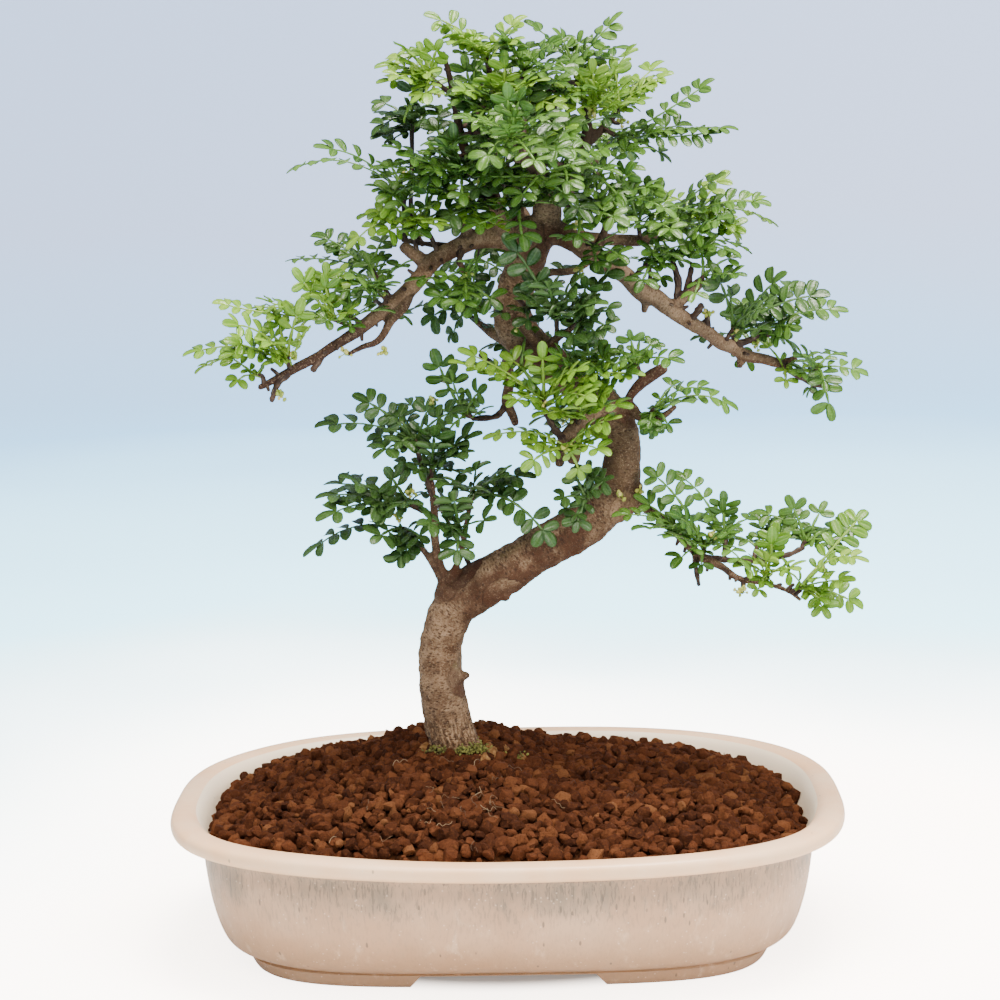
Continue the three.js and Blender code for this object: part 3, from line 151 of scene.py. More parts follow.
TWIGS = [
    [[-86, 240, -16, 1.7], [-91, 235.5, -18, 1.5], [-93, 231, -20, 1.3], [-94, 228, -21, 1.1]],
    [[-73, 246, -13, 1.8], [-76.5, 240.5, -15, 1.4]],
    [[-35.6, 272, -6, 2.2], [-38, 266, -8, 2.2], [-44, 260, -10, 1.9], [-47, 254.5, -11, 1.6],
      [-50, 251.5, -12, 1.5], [-56, 249.5, -14, 1.3], [-62, 246.5, -15, 1]],
    [[-27, 283, -4, 2.6], [-32, 286, -3, 3], [-38, 290.5, -2, 2.4]],
    [[-12, 292, -2, 2.6], [-12, 297, -3, 2.4], [-14, 303, -4, 1.8]],
    [[-15, 290.5, -2, 1.3], [-26, 291, 1, 1.2], [-38, 293, 4, 1.1]],
    [[-30, 291, 2, 1.2], [-34, 300, 10, 1.1], [-34, 316, 14, 1]],
    [[-14, 290, -4, 1.8], [-15, 284, -8, 1.4], [-14, 281, -10, 1.2]],
    [[4, 251, 8, 3], [-2, 254, 14, 2.2], [-9, 259.5, 20, 1.4]],
    [[114, 240, 20, 1.7], [122, 235, 21, 1.5], [129, 231, 22, 1.4], [137, 229, 23, 1.1]],
    [[97, 247, 16, 1.9], [104, 249.5, 15, 1.5], [114, 252.5, 14, 1.1]],
    [[85, 253, 14, 1.6], [86, 257, 13, 1.3], [85.5, 262, 12, 1]],
    [[77, 257, 12, 1.8], [81, 260, 10, 1.6], [83.5, 264, 8, 1.4]],
    [[70, 262, 11, 2.8], [75.5, 266.5, 10, 2.6], [84, 274, 8, 2.2]],
    [[74, 266, 10, 1.8], [74, 275, 12, 1.6], [72, 281.5, 14, 1.2]],
    [[77, 268, 9, 1.6], [79, 276, 10, 1.3], [80, 281, 11, 1]],
    [[60, 270, 8, 2.2], [60.5, 264, 9, 1.6], [60, 262, 9, 1.5]],
    [[100, 243, 17, 2.2], [99, 238.3, 18, 1.4]],
    [[28, 292, 6, 4], [45.5, 291.5, 16, 2.8], [60, 291, 26, 2.5], [71, 293.5, 36, 1.9],
      [79, 297, 41, 1.3]],
    [[40, 285, 4, 2.2], [44, 294, 0, 1.7], [46.5, 302, -4, 1.3]],
    [[82.5, 159, -14, 1.6], [92, 158, -12, 1.3], [104.7, 157, -10, 1.2], [119, 159.5, -8, 1.1],
      [124.5, 162, -7, 1]],
    [[79.7, 162, -13, 1.3], [80.4, 154.7, -15, 1.1], [81.6, 147.3, -16, 0.9]],
    [[100.4, 149, -18, 1.1], [99.5, 143.6, -19, 0.8]],
    [[92.3, 157, -12, 1.1], [92.5, 164.5, -11, 0.9]],
    [[44, 222, -1, 4], [54.5, 222, -6, 2.6], [57, 219, -9, 2.1], [61, 217.5, -12, 1.8],
      [68, 219, -15, 1.4], [72.5, 222.5, -17, 1.1]],
    [[52, 222.5, -5, 2.2], [54.5, 228, -8, 2], [60.5, 234, -10, 2.6], [68, 238.5, -12, 2.3]],
    [[18, 246, -2, 3], [14, 252, -12, 2.2], [9, 258, -16, 2], [2.5, 264, -20, 1.7]],
    [[19, 246, -3, 2.6], [24, 251.5, -12, 1.8], [31, 256, -18, 1.3]],
    [[38, 222, -4, 4.6], [31, 214.5, -14, 3.4], [26, 209, -18, 2.6], [25, 203.5, -20, 2.3],
      [24.3, 199, -21, 2]],
    [[32, 215.5, -13, 2.6], [31, 207, -14, 3], [30, 200.5, -15, 2.8]],
    [[26.5, 209.5, -18, 2], [22.5, 214, -20, 1.5], [20, 219, -21, 1.3], [18.2, 223, -22, 1.1]],
    [[12, 244, 8, 4], [4, 243, 16, 2.8], [4.5, 234, 20, 2.4], [3, 226, 22, 2.4],
      [5.5, 220, 23, 2], [6.5, 216.5, 24, 1.7]],
    [[3.5, 236, 20, 1.5], [0, 239.5, 19, 1.2], [-7.5, 245.5, 17, 1]],
    [[2.5, 224, 22, 1.7], [-1, 220, 21, 1.4], [-10.5, 219, 20, 1.1]],
    [[-24, 145, -1, 5.6], [-24.5, 152, -2, 2.8], [-26, 157, -3, 2], [-28, 168, -4, 1.9],
      [-28, 179, -5, 1.8], [-28.5, 188, -6, 1.5], [-29, 196, -7, 1.2]],
    [[-25, 151, -2, 2.2], [-29, 158, -4, 1.6], [-33.5, 165, -6, 1.4], [-38.5, 171, -8, 1.1]],
    [[-23, 151, -3, 2.2], [-19.5, 157, -4, 1.6], [-17, 163, -6, 1.4], [-15, 174, -8, 1.3],
      [-13, 183.5, -9, 1.2]],
    [[-28.5, 187, -6, 1.3], [-32, 197, -8, 1.1], [-34.5, 207, -10, 1]],
    [[8, 272, 6, 3], [22, 278.5, 16, 1.8], [32, 279, 22, 1.4], [38, 282, 26, 1.1]],
    [[-19, 110, -2, 2.6], [-15.7, 110.4, -3, 1.6]],
    [[0, 147, -6, 3], [1, 143, -8, 2]],
    [[56, 187, -4, 2.4], [58, 190, -6, 1.3]],
]
# Sprays: where the twig leaves the wood, the bud, the tone, and the leaves as tip x, z, y, then
# how far the rib bows up and how far the blade turns to the front
SPRAYS = {
    "left_tip": ([-86, 240.5, -16], [-87, 246, -17], "new", [[-130, 247, -24, 2, 8],
        [-126, 240, -8, 2, 6], [-112, 259, -38, 3, 40], [-97, 257, 0, 2, 45],
        [-80, 268, -26, 1, 60], [-96, 250, -40, 2, 50]]),
    "left_mid": ([-56, 257, -9], [-68, 261.5, -13], "new", [[-116, 269.5, -18, -2, 14],
        [-82, 281, -22, 1, 35], [-61, 283, -4, 2, 40], [-57, 263, -26, 1, 30],
        [-80, 257, 2, 3, 20]]),
    "left_inner": ([-44, 266.6, -7], [-48, 272, -10], "mid", [[-79, 267, -12, 2, 15],
        [-61, 277, -30, 2, 40], [-36, 281, -26, 3, 25], [-53, 287, -2, 1, 60]]),
    "left_upper": ([-43, 268, -4], [-51, 281, 5], "mid", [[-86, 285.5, 8, 1, 12],
        [-62, 291, -8, 2, 40], [-44, 294, 18, 2, 30], [-70, 277, 26, 2, 10]]),
    "left_over": ([-32, 286, -3], [-34, 299, -6], "new", [[-62, 287, -16, 5, 12],
        [-57, 302, 6, 2, 30], [-47, 309, -14, 1, 50], [-18, 310, -18, 1, 30],
        [-22, 296, -34, 2, 10], [-30, 305, -22, 1, 40]]),
    "left_shoot": ([-37, 293, 4], [-37, 312, 2], "mid", [[-85, 321, 6, 6, 6],
        [-50, 311, -14, 2, 50], [-44, 325, 14, 1, 60], [-24, 322, -10, 1, 50]]),
    "left_high": ([-34, 314, 14], [-33, 340, 12], "dark", [[-50, 333, 4, 4, 20],
        [-49, 348, 18, 2, 15], [-45, 343, -8, 1, 15], [-32, 357, 6, 1, 80], [-28, 345, 36, 2, 10],
        [-18, 338, -4, 1, 30]]),
    "mid_left": ([-9, 259.5, 20], [-13, 264, 22], "dark", [[-38, 262, 30, 3, 15],
        [-20, 251, 24, -1, 20], [-28, 274, 14, 1, 40], [-8, 280, 34, 2, 40], [2, 268, 10, 1, 50]]),
    "mid_left_front": ([-14, 281, -10], [-13, 277, -13], "mid", [[-38, 276, -18, 2, 12],
        [-28, 266, -22, 1, 40], [2, 264, -22, 1, 50], [-6, 286, -24, 1, 60],
        [-16, 264, -30, 0, 60]]),
    "centre_front": ([24, 251.5, -12], [24, 260, -22], "dark", [[4, 293, -30, 1, 65],
        [8, 268, -34, 1, 30], [45, 264, -32, 2, 20], [34, 276, -36, 1, 50], [20, 275, -44, 1, 30]]),
    "centre_front_right": ([31, 256, -18], [34, 259, -19], "dark", [[48, 253, -28, 1, 40],
        [50, 264, -22, 1, 40], [50, 287, -8, 1, 55], [28, 247, -34, 1, 30], [36, 276, -30, 1, 60]]),
    "centre_bright": ([18.2, 223, -22], [18.4, 226.5, -23], "new", [[-20, 242, -34, 1, 12],
        [60, 235, -30, 3, 12], [3, 222.5, -44, 2, 20], [1, 245, -12, 2, 55], [18, 248, -34, 1, 75],
        [36, 238, -48, 2, 50], [30, 236, -44, 2, 30]]),
    "centre_low": ([25, 204.5, -20], [27.5, 206.5, -25], "new", [[-8, 210, -32, 4, 15],
        [49, 217, -36, 3, 20], [34, 191, -26, 1, 60], [45, 202, -40, 2, 40]]),
    "centre_mid": ([31, 214.5, -14], [33, 219, -20], "new", [[54, 222, -36, 2, 15],
        [14, 218, -36, 2, 20], [47, 230, -30, 2, 40], [33, 222, -46, 1, 20]]),
    "centre_right": ([40, 226, -2], [38.5, 232, -14], "mid", [[22, 246, -34, 1, 50],
        [46, 247, -26, 1, 50], [36, 255, -16, 1, 60], [58, 243, -34, 2, 30]]),
    "trunk_front": ([38, 180, -8], [35, 185, -19], "dark", [[30, 197, -26, 0, 60],
        [22, 184, -26, 1, 45], [30, 170, -26, 0, 70], [46, 193, -26, 1, 40],
        [37, 201, -16, 0, 60]]),
    "low_right_near": ([83, 159.5, -14], [84, 164, -17], "mid", [[46, 177, -26, 3, 20],
        [60, 196, -12, 3, 45], [54, 171, -36, 2, 10], [70, 153, -36, 2, 20], [103, 152, -42, 3, 10],
        [98, 168, -30, 2, 25]]),
    "low_right_stub": ([92.5, 164.5, -11], [92.5, 168, -11], "mid", [[92, 186, -16, 0, 80],
        [72, 194, 0, 3, 30], [106, 174, -4, 2, 30], [80, 176, 12, 2, 20]]),
    "low_right_middle": ([104.7, 157, -10], [106, 163, -7], "mid", [[84, 164, 4, 3, 20],
        [121, 173, 4, 2, 20], [110, 175, 12, 1, 40], [118, 164, -20, 2, 30]]),
    "low_right_front": ([107, 148, -19], [110, 150.5, -25], "new", [[112, 170, -34, 0, 85],
        [96, 154, -40, 2, 30], [123, 152, -42, 2, 20], [104, 142, -32, 0, 60]]),
    "low_right_top": ([124.5, 162, -7], [126, 165, -6], "mid", [[104, 176, 2, 3, 30],
        [134, 180, -2, 1, 40], [152, 168, 2, 3, 15], [140, 160, -18, 2, 40],
        [118, 184, -6, 0, 75]]),
    "low_right_far": ([120, 143.6, -21], [124.5, 146, -25], "new", [[151, 177, -14, 2, 50],
        [151, 154, -34, 7, 10], [150, 136, -26, 1, 40], [136, 131, -36, 1, 20],
        [116, 153, -36, 1, 50]]),
    "mid_right_top": ([59, 232, -9], [56.5, 240.5, -14], "mid", [[54, 254, -20, 0, 60],
        [66, 250, -4, 1, 30], [77, 239, -26, 2, 30], [46, 246, -6, 1, 40]]),
    "mid_right": ([61, 217.5, -12], [64, 221.5, -14], "mid", [[88, 226, -24, 5, 25],
        [99, 219, -12, 5, 10], [74, 232, -4, 2, 50], [71, 210, -24, 1, 50], [62, 208, -14, 0, 60]]),
    "right_tip": ([128, 231.5, 22], [131, 237.5, 19], "mid", [[152, 233, 18, 1, 25],
        [137, 214, 12, 0, 75], [121, 241, 2, 2, 60], [142, 242, 40, 2, 20]]),
    "right_fork": ([104, 249.5, 15], [107.5, 254, 13], "mid", [[143, 260, 12, 2, 15],
        [124, 253, 2, 1, 45], [122, 244, 22, 1, 30], [96, 259, 28, 1, 50]]),
    "right_outer": ([93, 248, 15], [97, 254.5, 9], "dark", [[135, 267, 4, 2, 40],
        [112, 262, -16, 2, 45], [125, 271, 22, 3, 12], [88, 279, 4, 1, 60]]),
    "right_back_top": ([78, 296.5, 40], [81, 301, 41], "new", [[115, 295, 48, 3, 8],
        [112, 303, 32, 3, 20], [94, 317, 50, 1, 20], [99, 289, 62, 2, 20], [66, 308, 56, 2, 30],
        [84, 292, 32, 1, 30]]),
    "right_top": ([69, 292.5, 34], [70, 297.5, 27], "mid", [[93, 316, 18, 2, 20],
        [112, 304, 12, 3, 25], [62, 313, 20, 1, 50], [88, 291, 6, 2, 20]]),
    "right_inner": ([72, 281.5, 14], [72.4, 285.2, 14], "mid", [[100, 282, 2, 3, 15],
        [105, 284, 26, 4, 10], [59, 284, 0, 1, 45], [66, 277, 2, 1, 50], [96, 299, -4, 2, 20]]),
    "right_shoulder": ([46.5, 302, -4], [47.5, 306, -6], "mid", [[56, 322, -12, 0, 55],
        [68, 311, -16, 2, 20], [34, 300, -26, 2, 20], [74, 299, -22, 3, 15], [33, 313, -14, 1, 40],
        [52, 293, -30, 1, 40]]),
    "right_shoulder_back": ([59, 291, 25.5], [58, 298, 18], "mid", [[68, 315, 12, 1, 30],
        [84, 301, 4, 3, 10], [76, 291, -6, 2, 20], [50, 317, 24, 1, 40], [46, 300, 40, 2, 20]]),
    "crown_left": ([-16, 351, -9.5], [-25, 358, -15], "new", [[-46, 362, -24, 2, 15],
        [-42, 365, -2, 3, 30], [-38, 371, -28, 2, 40], [-41, 357, -36, 1, 20],
        [-20, 372, -24, 1, 60], [-26, 347, -38, 1, 50]]),
    "crown_left_low": ([-6, 320, -7], [-13, 319, -16], "mid", [[-50, 322, -20, 2, 10],
        [-38, 328, -34, 1, 30], [4, 322, -40, 2, 30], [-44, 331, -30, 2, 20], [-28, 312, -6, 2, 30],
        [-16, 338, -30, 1, 60], [-12, 306, -34, 1, 60]]),
    "crown_flower": ([-14, 303, -4], [-14.5, 307, -4.5], "new", [[34, 338, -44, 0, 15],
        [24, 312, -34, 5, 12], [-38, 318, -16, 2, 12], [-4, 296, -26, 2, 30]]),
    "crown_peak_left": ([-1.5, 362, 0], [-2, 366, -1], "new", [[-26, 382, -2, 2, 40],
        [-17, 371, -26, 1, 15], [14, 381, 4, 1, 30], [10, 370, -26, 1, 50], [-10, 374, 26, 2, 30]]),
    "crown_top_front": ([3, 344, 2], [4.5, 347, -14], "new", [[5, 368, -20, 0, 85],
        [22, 356, -34, 2, 20], [-16, 352, -34, 2, 20], [30, 344, -32, 2, 30],
        [-4, 358, -30, 1, 30]]),
    "crown_top_right": ([13, 357, -9], [13.5, 361, -11], "mid", [[28, 372, -22, 1, 40],
        [34, 357, -32, 2, 20], [18, 366, 14, 2, 30], [2, 374, -24, 1, 50]]),
    "crown_peak_right": ([34, 357, 7], [33, 361, 7], "mid", [[14, 378, 4, 2, 20],
        [53, 382, 8, -1, 35], [44, 370, -10, 1, 60], [56, 367, -4, 2, 20], [22, 369, 26, 2, 30]]),
    "crown_right": ([38, 340, 8], [41, 345, 0], "new", [[40, 364, -6, 0, 85], [57, 368, -18, 2, 20],
        [24, 353, -18, 2, 20], [54, 350, -24, 1, 50], [30, 342, -12, 1, 40]]),
    "crown_right_edge": ([49, 341, 12], [51, 344, 11], "new", [[72, 357, 6, 2, 25],
        [68, 361, 22, 2, 15], [48, 363, 14, 1, 70], [60, 345, -14, 1, 30], [40, 354, 32, 2, 30]]),
    "crown_right_low": ([44, 336, 10], [51, 332.5, 15], "mid", [[98, 335, 18, 3, 8],
        [72, 321, 22, 3, 20], [60, 325, -6, 1, 30], [42, 321, 26, 1, 40]]),
    "crown_front": ([8, 331, -55], [7, 334.5, -56], "mid", [[-16, 340, -66, 2, 20],
        [30, 340, -70, 2, 20], [6, 354, -64, 0, 70], [40, 324, -60, 1, 30], [-6, 320, -74, 1, 40],
        [-6, 340, -42, 1, 50], [20, 318, -80, 1, 50]]),
    "crown_back_left": ([-4, 326, 72], [-5, 329.5, 73], "mid", [[-30, 330, 84, 3, 15],
        [14, 336, 92, 2, 20], [-6, 345, 88, 1, -60], [-22, 322, 60, 2, 20], [-2, 322, 100, 2, 10]]),
    "crown_back_middle": ([-7, 345, 24], [-8, 348.5, 25], "mid", [[-28, 358, 34, 3, 20],
        [-10, 352, 56, 2, 20], [-2, 366, 34, 1, -50], [14, 356, 34, 2, 20]]),
    "crown_back_right": ([46, 327, 64], [47, 330.5, 65], "mid", [[72, 334, 68, 3, 15],
        [46, 345, 84, 1, -50], [24, 340, 60, 2, 20], [56, 322, 94, 2, 15], [36, 316, 84, 1, 20]]),
    "back_middle": ([18, 244, 45], [16, 247, 48.5], "dark", [[-8, 246, 52, 3, 15],
        [42, 250, 54, 3, 15], [18, 262, 64, 1, -50]]),
    "back_low": ([37, 217, 36], [35.5, 220, 37], "dark", [[12, 214, 46, 3, 15],
        [54, 224, 52, 2, 20], [34, 228, 62, 1, -40]]),
    "back_twig": ([-10.5, 219, 20], [-14, 220.5, 19.5], "mid", [[-26, 247, 12, 0, 60],
        [-43, 225, 20, 1, 8], [-5, 232, 10, 1, 50], [-24, 209, 24, 1, 40], [-12, 226, 44, 2, 20]]),
    "low_left_top": ([-34.5, 207, -10], [-35, 210.5, -10.5], "dark", [[-60, 229, -8, 1, 45],
        [-76, 216, -16, 2, 10], [-53, 202, -26, 1, 30], [-14, 222, -18, 2, 40],
        [-42, 222, 8, 1, 30]]),
    "low_left_right": ([-29, 196, -7], [-28.5, 199.5, -8], "dark", [[-8, 212, -20, 1, 45],
        [-27, 216, -26, 0, 70], [-14, 202, -30, 1, 40], [-45, 198, -14, 1, 30],
        [-20, 202, 16, 2, 20]]),
    "low_left_cascade": ([-13, 183.5, -9], [-12, 187, -10.5], "dark", [[14, 193, -16, 3, 18],
        [23, 162, -24, 6, 45], [-10, 200, -26, 1, 40], [-26, 190, -34, 2, 30],
        [6, 184, 12, 2, 20]]),
    "low_left_side": ([-28, 179, -5], [-38, 183.5, -11], "dark", [[-76, 187, -16, 2, 10],
        [-76, 177, -26, 3, 10], [-73, 192, 4, 3, 10], [-47, 198, -24, 1, 50],
        [-40, 182, -40, 1, 20]]),
    "low_left_low": ([-38.5, 171, -8], [-41.2, 173.6, -9.5], "dark", [[-83, 161, -18, 5, 20],
        [-42, 156, -22, 0, -80], [-54, 167, -26, 1, 60], [-30, 166, -28, 1, 60]]),
    "low_left_front": ([-16, 168, -7], [-18, 173, -20], "dark", [[-19, 157, -36, 1, 60],
        [-35, 175, -36, 1, 40], [-2, 176, -32, 1, 40], [-20, 188, -38, 1, 50]]),
}

# Clusters of tiny flower buds: x, z, y
FLOWERS = [
    (-85, 246, -18), (-71, 265, -12), (-63, 247, -16), (-47, 248, -14), (-90, 230, -20),
    (-47, 272, -12), (-12, 278, -14), (-10, 308, -14), (-6, 316, -16), (-17, 312, -12),
    (40, 343, -2), (46, 304, -8), (33, 297, -12), (31, 328, -8), (98, 252, 10), (106, 247, 14),
    (86, 261, 10), (133, 153, -26), (87, 168, -16), (99, 144, -20), (-28, 226, -8),
    (8, 257, -20), (27, 206, -26), (18, 223, -24), (28, 218, -20), (34, 278, -10),
    (50, 185, -12), (57, 187, -8), (-38, 188, -14), (-43, 178, -12), (2, 351, -8),
    (-24, 352, -14), (20, 338, -16), (52, 338, 12), (-36, 318, 2), (70, 296, 30),
]
CROWN_MIDDLE = np.array([14, 6, 308])
# Buds between the sprays: x, z, y, tone, number of leaves, their length
FILLING = [
    (-2, 318, -16, "dark", 5, 24), (9, 305, -22, "mid", 5, 24), (24, 312, -18, "dark", 5, 24),
    (-4, 335, -20, "dark", 5, 22), (13, 331, -26, "mid", 5, 24), (31, 335, -16, "dark", 5, 22),
    (29, 322, -24, "mid", 5, 25), (5, 350, -16, "mid", 5, 20), (26, 352, -12, "mid", 5, 20),
    (-16, 324, -14, "mid", 4, 24), (34, 303, -16, "mid", 5, 24), (-30, 300, -12, "mid", 4, 22),
    (-2, 345, -26, "mid", 4, 20), (43, 317, -6, "mid", 5, 24), (40, 289, -8, "mid", 4, 22),
    (18, 318, -30, "mid", 5, 25), (13, 340, -30, "dark", 4, 22), (-8, 306, -12, "dark", 4, 22),
    (85, 276, 4, "mid", 4, 20), (64, 282, 6, "mid", 3, 20), (118, 237, 16, "new", 3, 15),
    (-61, 262, -14, "mid", 4, 19), (-100, 239, -20, "new", 3, 17), (12, 264, -14, "dark", 4, 20),
    (31, 243, -16, "mid", 4, 20), (9, 240, -16, "mid", 3, 18), (8, 334, 44, "mid", 4, 24),
    (30, 306, 44, "mid", 4, 24), (-2, 302, 40, "mid", 4, 24), (22, 352, 34, "mid", 4, 20),
    (22, 270, 26, "dark", 4, 20), (-8, 284, 20, "mid", 4, 20), (62, 282, 34, "mid", 4, 20),
    (-50, 268, 14, "mid", 4, 20), (6, 318, 52, "mid", 4, 24), (28, 326, 42, "mid", 4, 22),
    (96, 252, 36, "mid", 4, 20), (-30, 190, 12, "dark", 4, 20), (-20, 334, 22, "mid", 4, 22),
]

# Stones by the trunk: x, y, size
STONES = [
    (-7.5, 2, 2.8), (-2, 3, 3.6), (-5.7, -9, 3.4), (-9.3, -17, 3.0), (-34.5, 1, 3.4), (7, -2, 2.4),
]
# Moss by the trunk: x, y, spread, number of tufts, paleness
MOSS = [
    (-18, -11, 1.8, 200, 0.6), (-10.5, -7, 2.6, 300, 0.75), (-29, -8, 2.4, 130, 0.2),
    (5, -3, 1.5, 45, 0.6),
]
# Root fibres: x, y, spread and how many for each tangle on the soil, then the number of strays
TANGLES = [(-9, -62, 3.2, 7), (-23, -68, 3.0, 5)]
STRAY_ROOTS = 14


# Meshes
class Shape:
    """Vertices in mm, faces, and up to two values for each vertex: look, four numbers that
    its material reads, and grain, a place along the limb for the bark's pattern."""

    def __init__(self):
        self.points, self.looks, self.grains, self.faces, self.count = [], [], [], [], 0

    def add(self, points, faces, look=(0, 0, 0, 0), grain=None):
        points = np.asarray(points, float)
        self.faces += [tuple(corner + self.count for corner in face) for face in faces]
        self.points.append(points)
        self.looks.append(np.broadcast_to(np.asarray(look, float), (len(points), 4)))
        self.grains.append(points if grain is None else grain)
        self.count += len(points)

    def mesh(self, name):
        made = bpy.data.meshes.new(name)
        places = (np.concatenate(self.points) * MM + POT_MIDDLE).tolist()
        made.from_pydata(places, [], self.faces)
        put_values(made, np.concatenate(self.looks), np.concatenate(self.grains))
        return made


def put_values(mesh, looks, grains):
    """Writes each vertex's look and grain into the mesh, where the materials read them"""
    for name, kind, key, values in (("look", "FLOAT_COLOR", "color", looks),
            ("grain", "FLOAT_VECTOR", "vector", grains)):
        attribute = mesh.attributes.new(name, kind, "POINT")
        attribute.data.foreach_set(key, np.asarray(values, np.float32).ravel())


def make_piece(name, mesh, material, replaced=(), sharp=None):
    """A visible piece, smooth but for edges sharper than so many degrees"""
    mesh.materials.append(material)
    mesh.polygons.foreach_set("use_smooth", [True] * len(mesh.polygons))
    if sharp is not None:
        mesh.set_sharp_from_angle(angle=math.radians(sharp))
    piece = link(name, mesh)
    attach(piece, "root")
    if replaced:
        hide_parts(*replaced)


def applied(mesh, name, *modifiers):
    """The mesh after these modifiers, each a kind and its settings"""
    holder = link(name, mesh)
    for kind, settings in modifiers:
        modifier = holder.modifiers.new(kind.lower(), kind)
        for key, value in settings.items():
            setattr(modifier, key, value)
    graph = bpy.context.evaluated_depsgraph_get()
    made = bpy.data.meshes.new_from_object(holder.evaluated_get(graph))
    bpy.data.objects.remove(holder)
    return made


def link(name, data):
    """A new object in the scene"""
    made = bpy.data.objects.new(name, data)
    bpy.context.scene.collection.objects.link(made)
    return made


def curve_through(points, per_span):
    """Centripetal Catmull-Rom curve through rows of x, y, z and any further values"""
    points = np.asarray(points, float)
    ends = np.vstack([2 * points[0] - points[1], points, 2 * points[-1] - points[-2]])
    gaps = np.linalg.norm(np.diff(ends[:, :3], axis=0), axis=1) ** 0.5
    knots = np.concatenate([[0], np.cumsum(np.maximum(gaps, 1e-6))])
    rows = []
    for span in range(1, len(ends) - 2):
        k0, k1, k2, k3 = knots[span - 1:span + 3]
        p0, p1, p2, p3 = ends[span - 1:span + 3]
        for k in np.linspace(k1, k2, per_span, endpoint=False):
            a1 = (p0 * (k1 - k) + p1 * (k - k0)) / (k1 - k0)
            a2 = (p1 * (k2 - k) + p2 * (k - k1)) / (k2 - k1)
            a3 = (p2 * (k3 - k) + p3 * (k - k2)) / (k3 - k2)
            b1 = (a1 * (k2 - k) + a2 * (k - k0)) / (k2 - k0)
            b2 = (a2 * (k3 - k) + a3 * (k - k1)) / (k3 - k1)
            rows.append((b1 * (k2 - k) + b2 * (k - k1)) / (k2 - k1))
    rows.append(points[-1])
    return np.array(rows)


def frames_along(path):
    """Direction, and two directions square to it that don't twist, at each point of a path"""
    ahead = np.gradient(path[:, :3], axis=0)
    ahead /= np.linalg.norm(ahead, axis=1)[:, None]
    across = np.array([0.31, 0.87, 0.38])
    sides = []
    for direction in ahead:
        across = upright_to(across, direction)
        sides.append(across)
    sides = np.array(sides)
    return ahead, sides, np.cross(ahead, sides)


def run_along(path):
    """Length of the path up to each of its points"""
    steps = np.linalg.norm(np.diff(path[:, :3], axis=0), axis=1)
    return np.concatenate([[0], np.cumsum(steps)])


def strip_faces(rings, count, closed=False):
    """Faces that join rings of count points each, and the last ring to the first if closed"""
    faces = []
    for ring in range(rings if closed else rings - 1):
        below, above = ring * count, (ring + 1) % rings * count
        for side in range(count):
            following = (side + 1) % count
            faces.append((below + side, below + following, above + following, above + side))
    return faces


def tube(shape, path, count, look, random_source, rough=0.06):
    """Closed limb round a path of x, y, z, radius rows, with a slightly uneven skin and
    rounded ends"""
    ahead, across, beside = frames_along(path)
    along = run_along(path)
    turns = np.arange(count) * 2 * np.pi / count
    shift = random_source.random() * 100
    rows, grains = [], []
    last = len(path) - 1
    rings = [(0, -0.5, 0.6), *((ring, 0, 1) for ring in range(len(path))), (last, 0.5, 0.6)]
    for ring, push, share in rings:
        radius = path[ring, 3] * share
        centre = path[ring, :3] + ahead[ring] * push * path[ring, 3]
        for turn in turns:
            out = across[ring] * math.cos(turn) + beside[ring] * math.sin(turn)
            place = centre + out * radius
            uneven = noise.noise(Vector(place * 0.45) + Vector((shift, 0, 0)))
            rows.append(place + out * radius * rough * 2 * uneven)
            grains.append((radius * math.cos(turn), radius * math.sin(turn), along[ring] + shift))
    faces = strip_faces(len(rings), count)
    faces.append(tuple(range(count - 1, -1, -1)))
    faces.append(tuple(range((len(rings) - 1) * count, len(rings) * count)))
    shape.add(rows, faces, look, np.array(grains))


def ball_template(detail):
    """Vertices and faces of a unit ball, from a subdivided icosahedron"""
    ball = bmesh.new()
    bmesh.ops.create_icosphere(ball, subdivisions=detail, radius=1)
    ball.verts.ensure_lookup_table()
    points = np.array([vertex.co for vertex in ball.verts])
    faces = [tuple(vertex.index for vertex in face.verts) for face in ball.faces]
    ball.free()
    return points, faces


SMALL_BALL = ball_template(1)
BALL = ball_template(2)


def random_vector(source, spread=1):
    """Vector whose three parts are drawn from a bell curve of that spread"""
    return np.array([source.gauss(0, spread) for _ in range(3)])


def random_turn(source):
    """Rotation matrix drawn evenly from all turns"""
    axis = Vector(random_vector(source)).normalized()
    return np.array(Matrix.Rotation(source.random() * 2 * math.pi, 3, axis))


# Material nodes
def put(tree, socket, value):
    """Links another node's output to the socket, or sets the socket's own number or colour"""
    if isinstance(value, bpy.types.NodeSocket):
        tree.links.new(value, socket)
    else:
        socket.default_value = value


def node(tree, kind, sockets=None, **settings):
    """Adds a node; a socket's value is a number, a colour or another node's output"""
    made = tree.nodes.new("ShaderNode" + kind)
    for key, value in settings.items():
        setattr(made, key, value)
    for key, value in (sockets or {}).items():
        put(tree, made.inputs[key], value)
    return made


def new_material(name):
    """A material with its tree and its Principled shader"""
    material = bpy.data.materials.new(name)
    material.use_nodes = True
    tree = material.node_tree
    return material, tree, tree.nodes["Principled BSDF"]


def object_place(tree):
    return node(tree, "TexCoord").outputs["Object"]


def look_values(tree):
    """The four numbers of each vertex's look"""
    look = node(tree, "Attribute", attribute_name="look").outputs
    parts = node(tree, "SeparateColor", {0: look["Color"]}).outputs
    return parts["Red"], parts["Green"], parts["Blue"], look["Alpha"]


def grain_place(tree):
    """Each vertex's place round and along its limb, in metres"""
    grain = node(tree, "Attribute", attribute_name="grain").outputs["Vector"]
    return node(tree, "VectorMath", {0: grain, 3: MM}, operation="SCALE").outputs["Vector"]


def pattern(tree, place, size, detail=3, roughness=0.5):
    """Noise whose features are size mm wide"""
    sockets = {"Vector": place, "Scale": 1 / (size * MM), "Detail": detail, "Roughness": roughness}
    return node(tree, "TexNoise", sockets).outputs["Fac"]


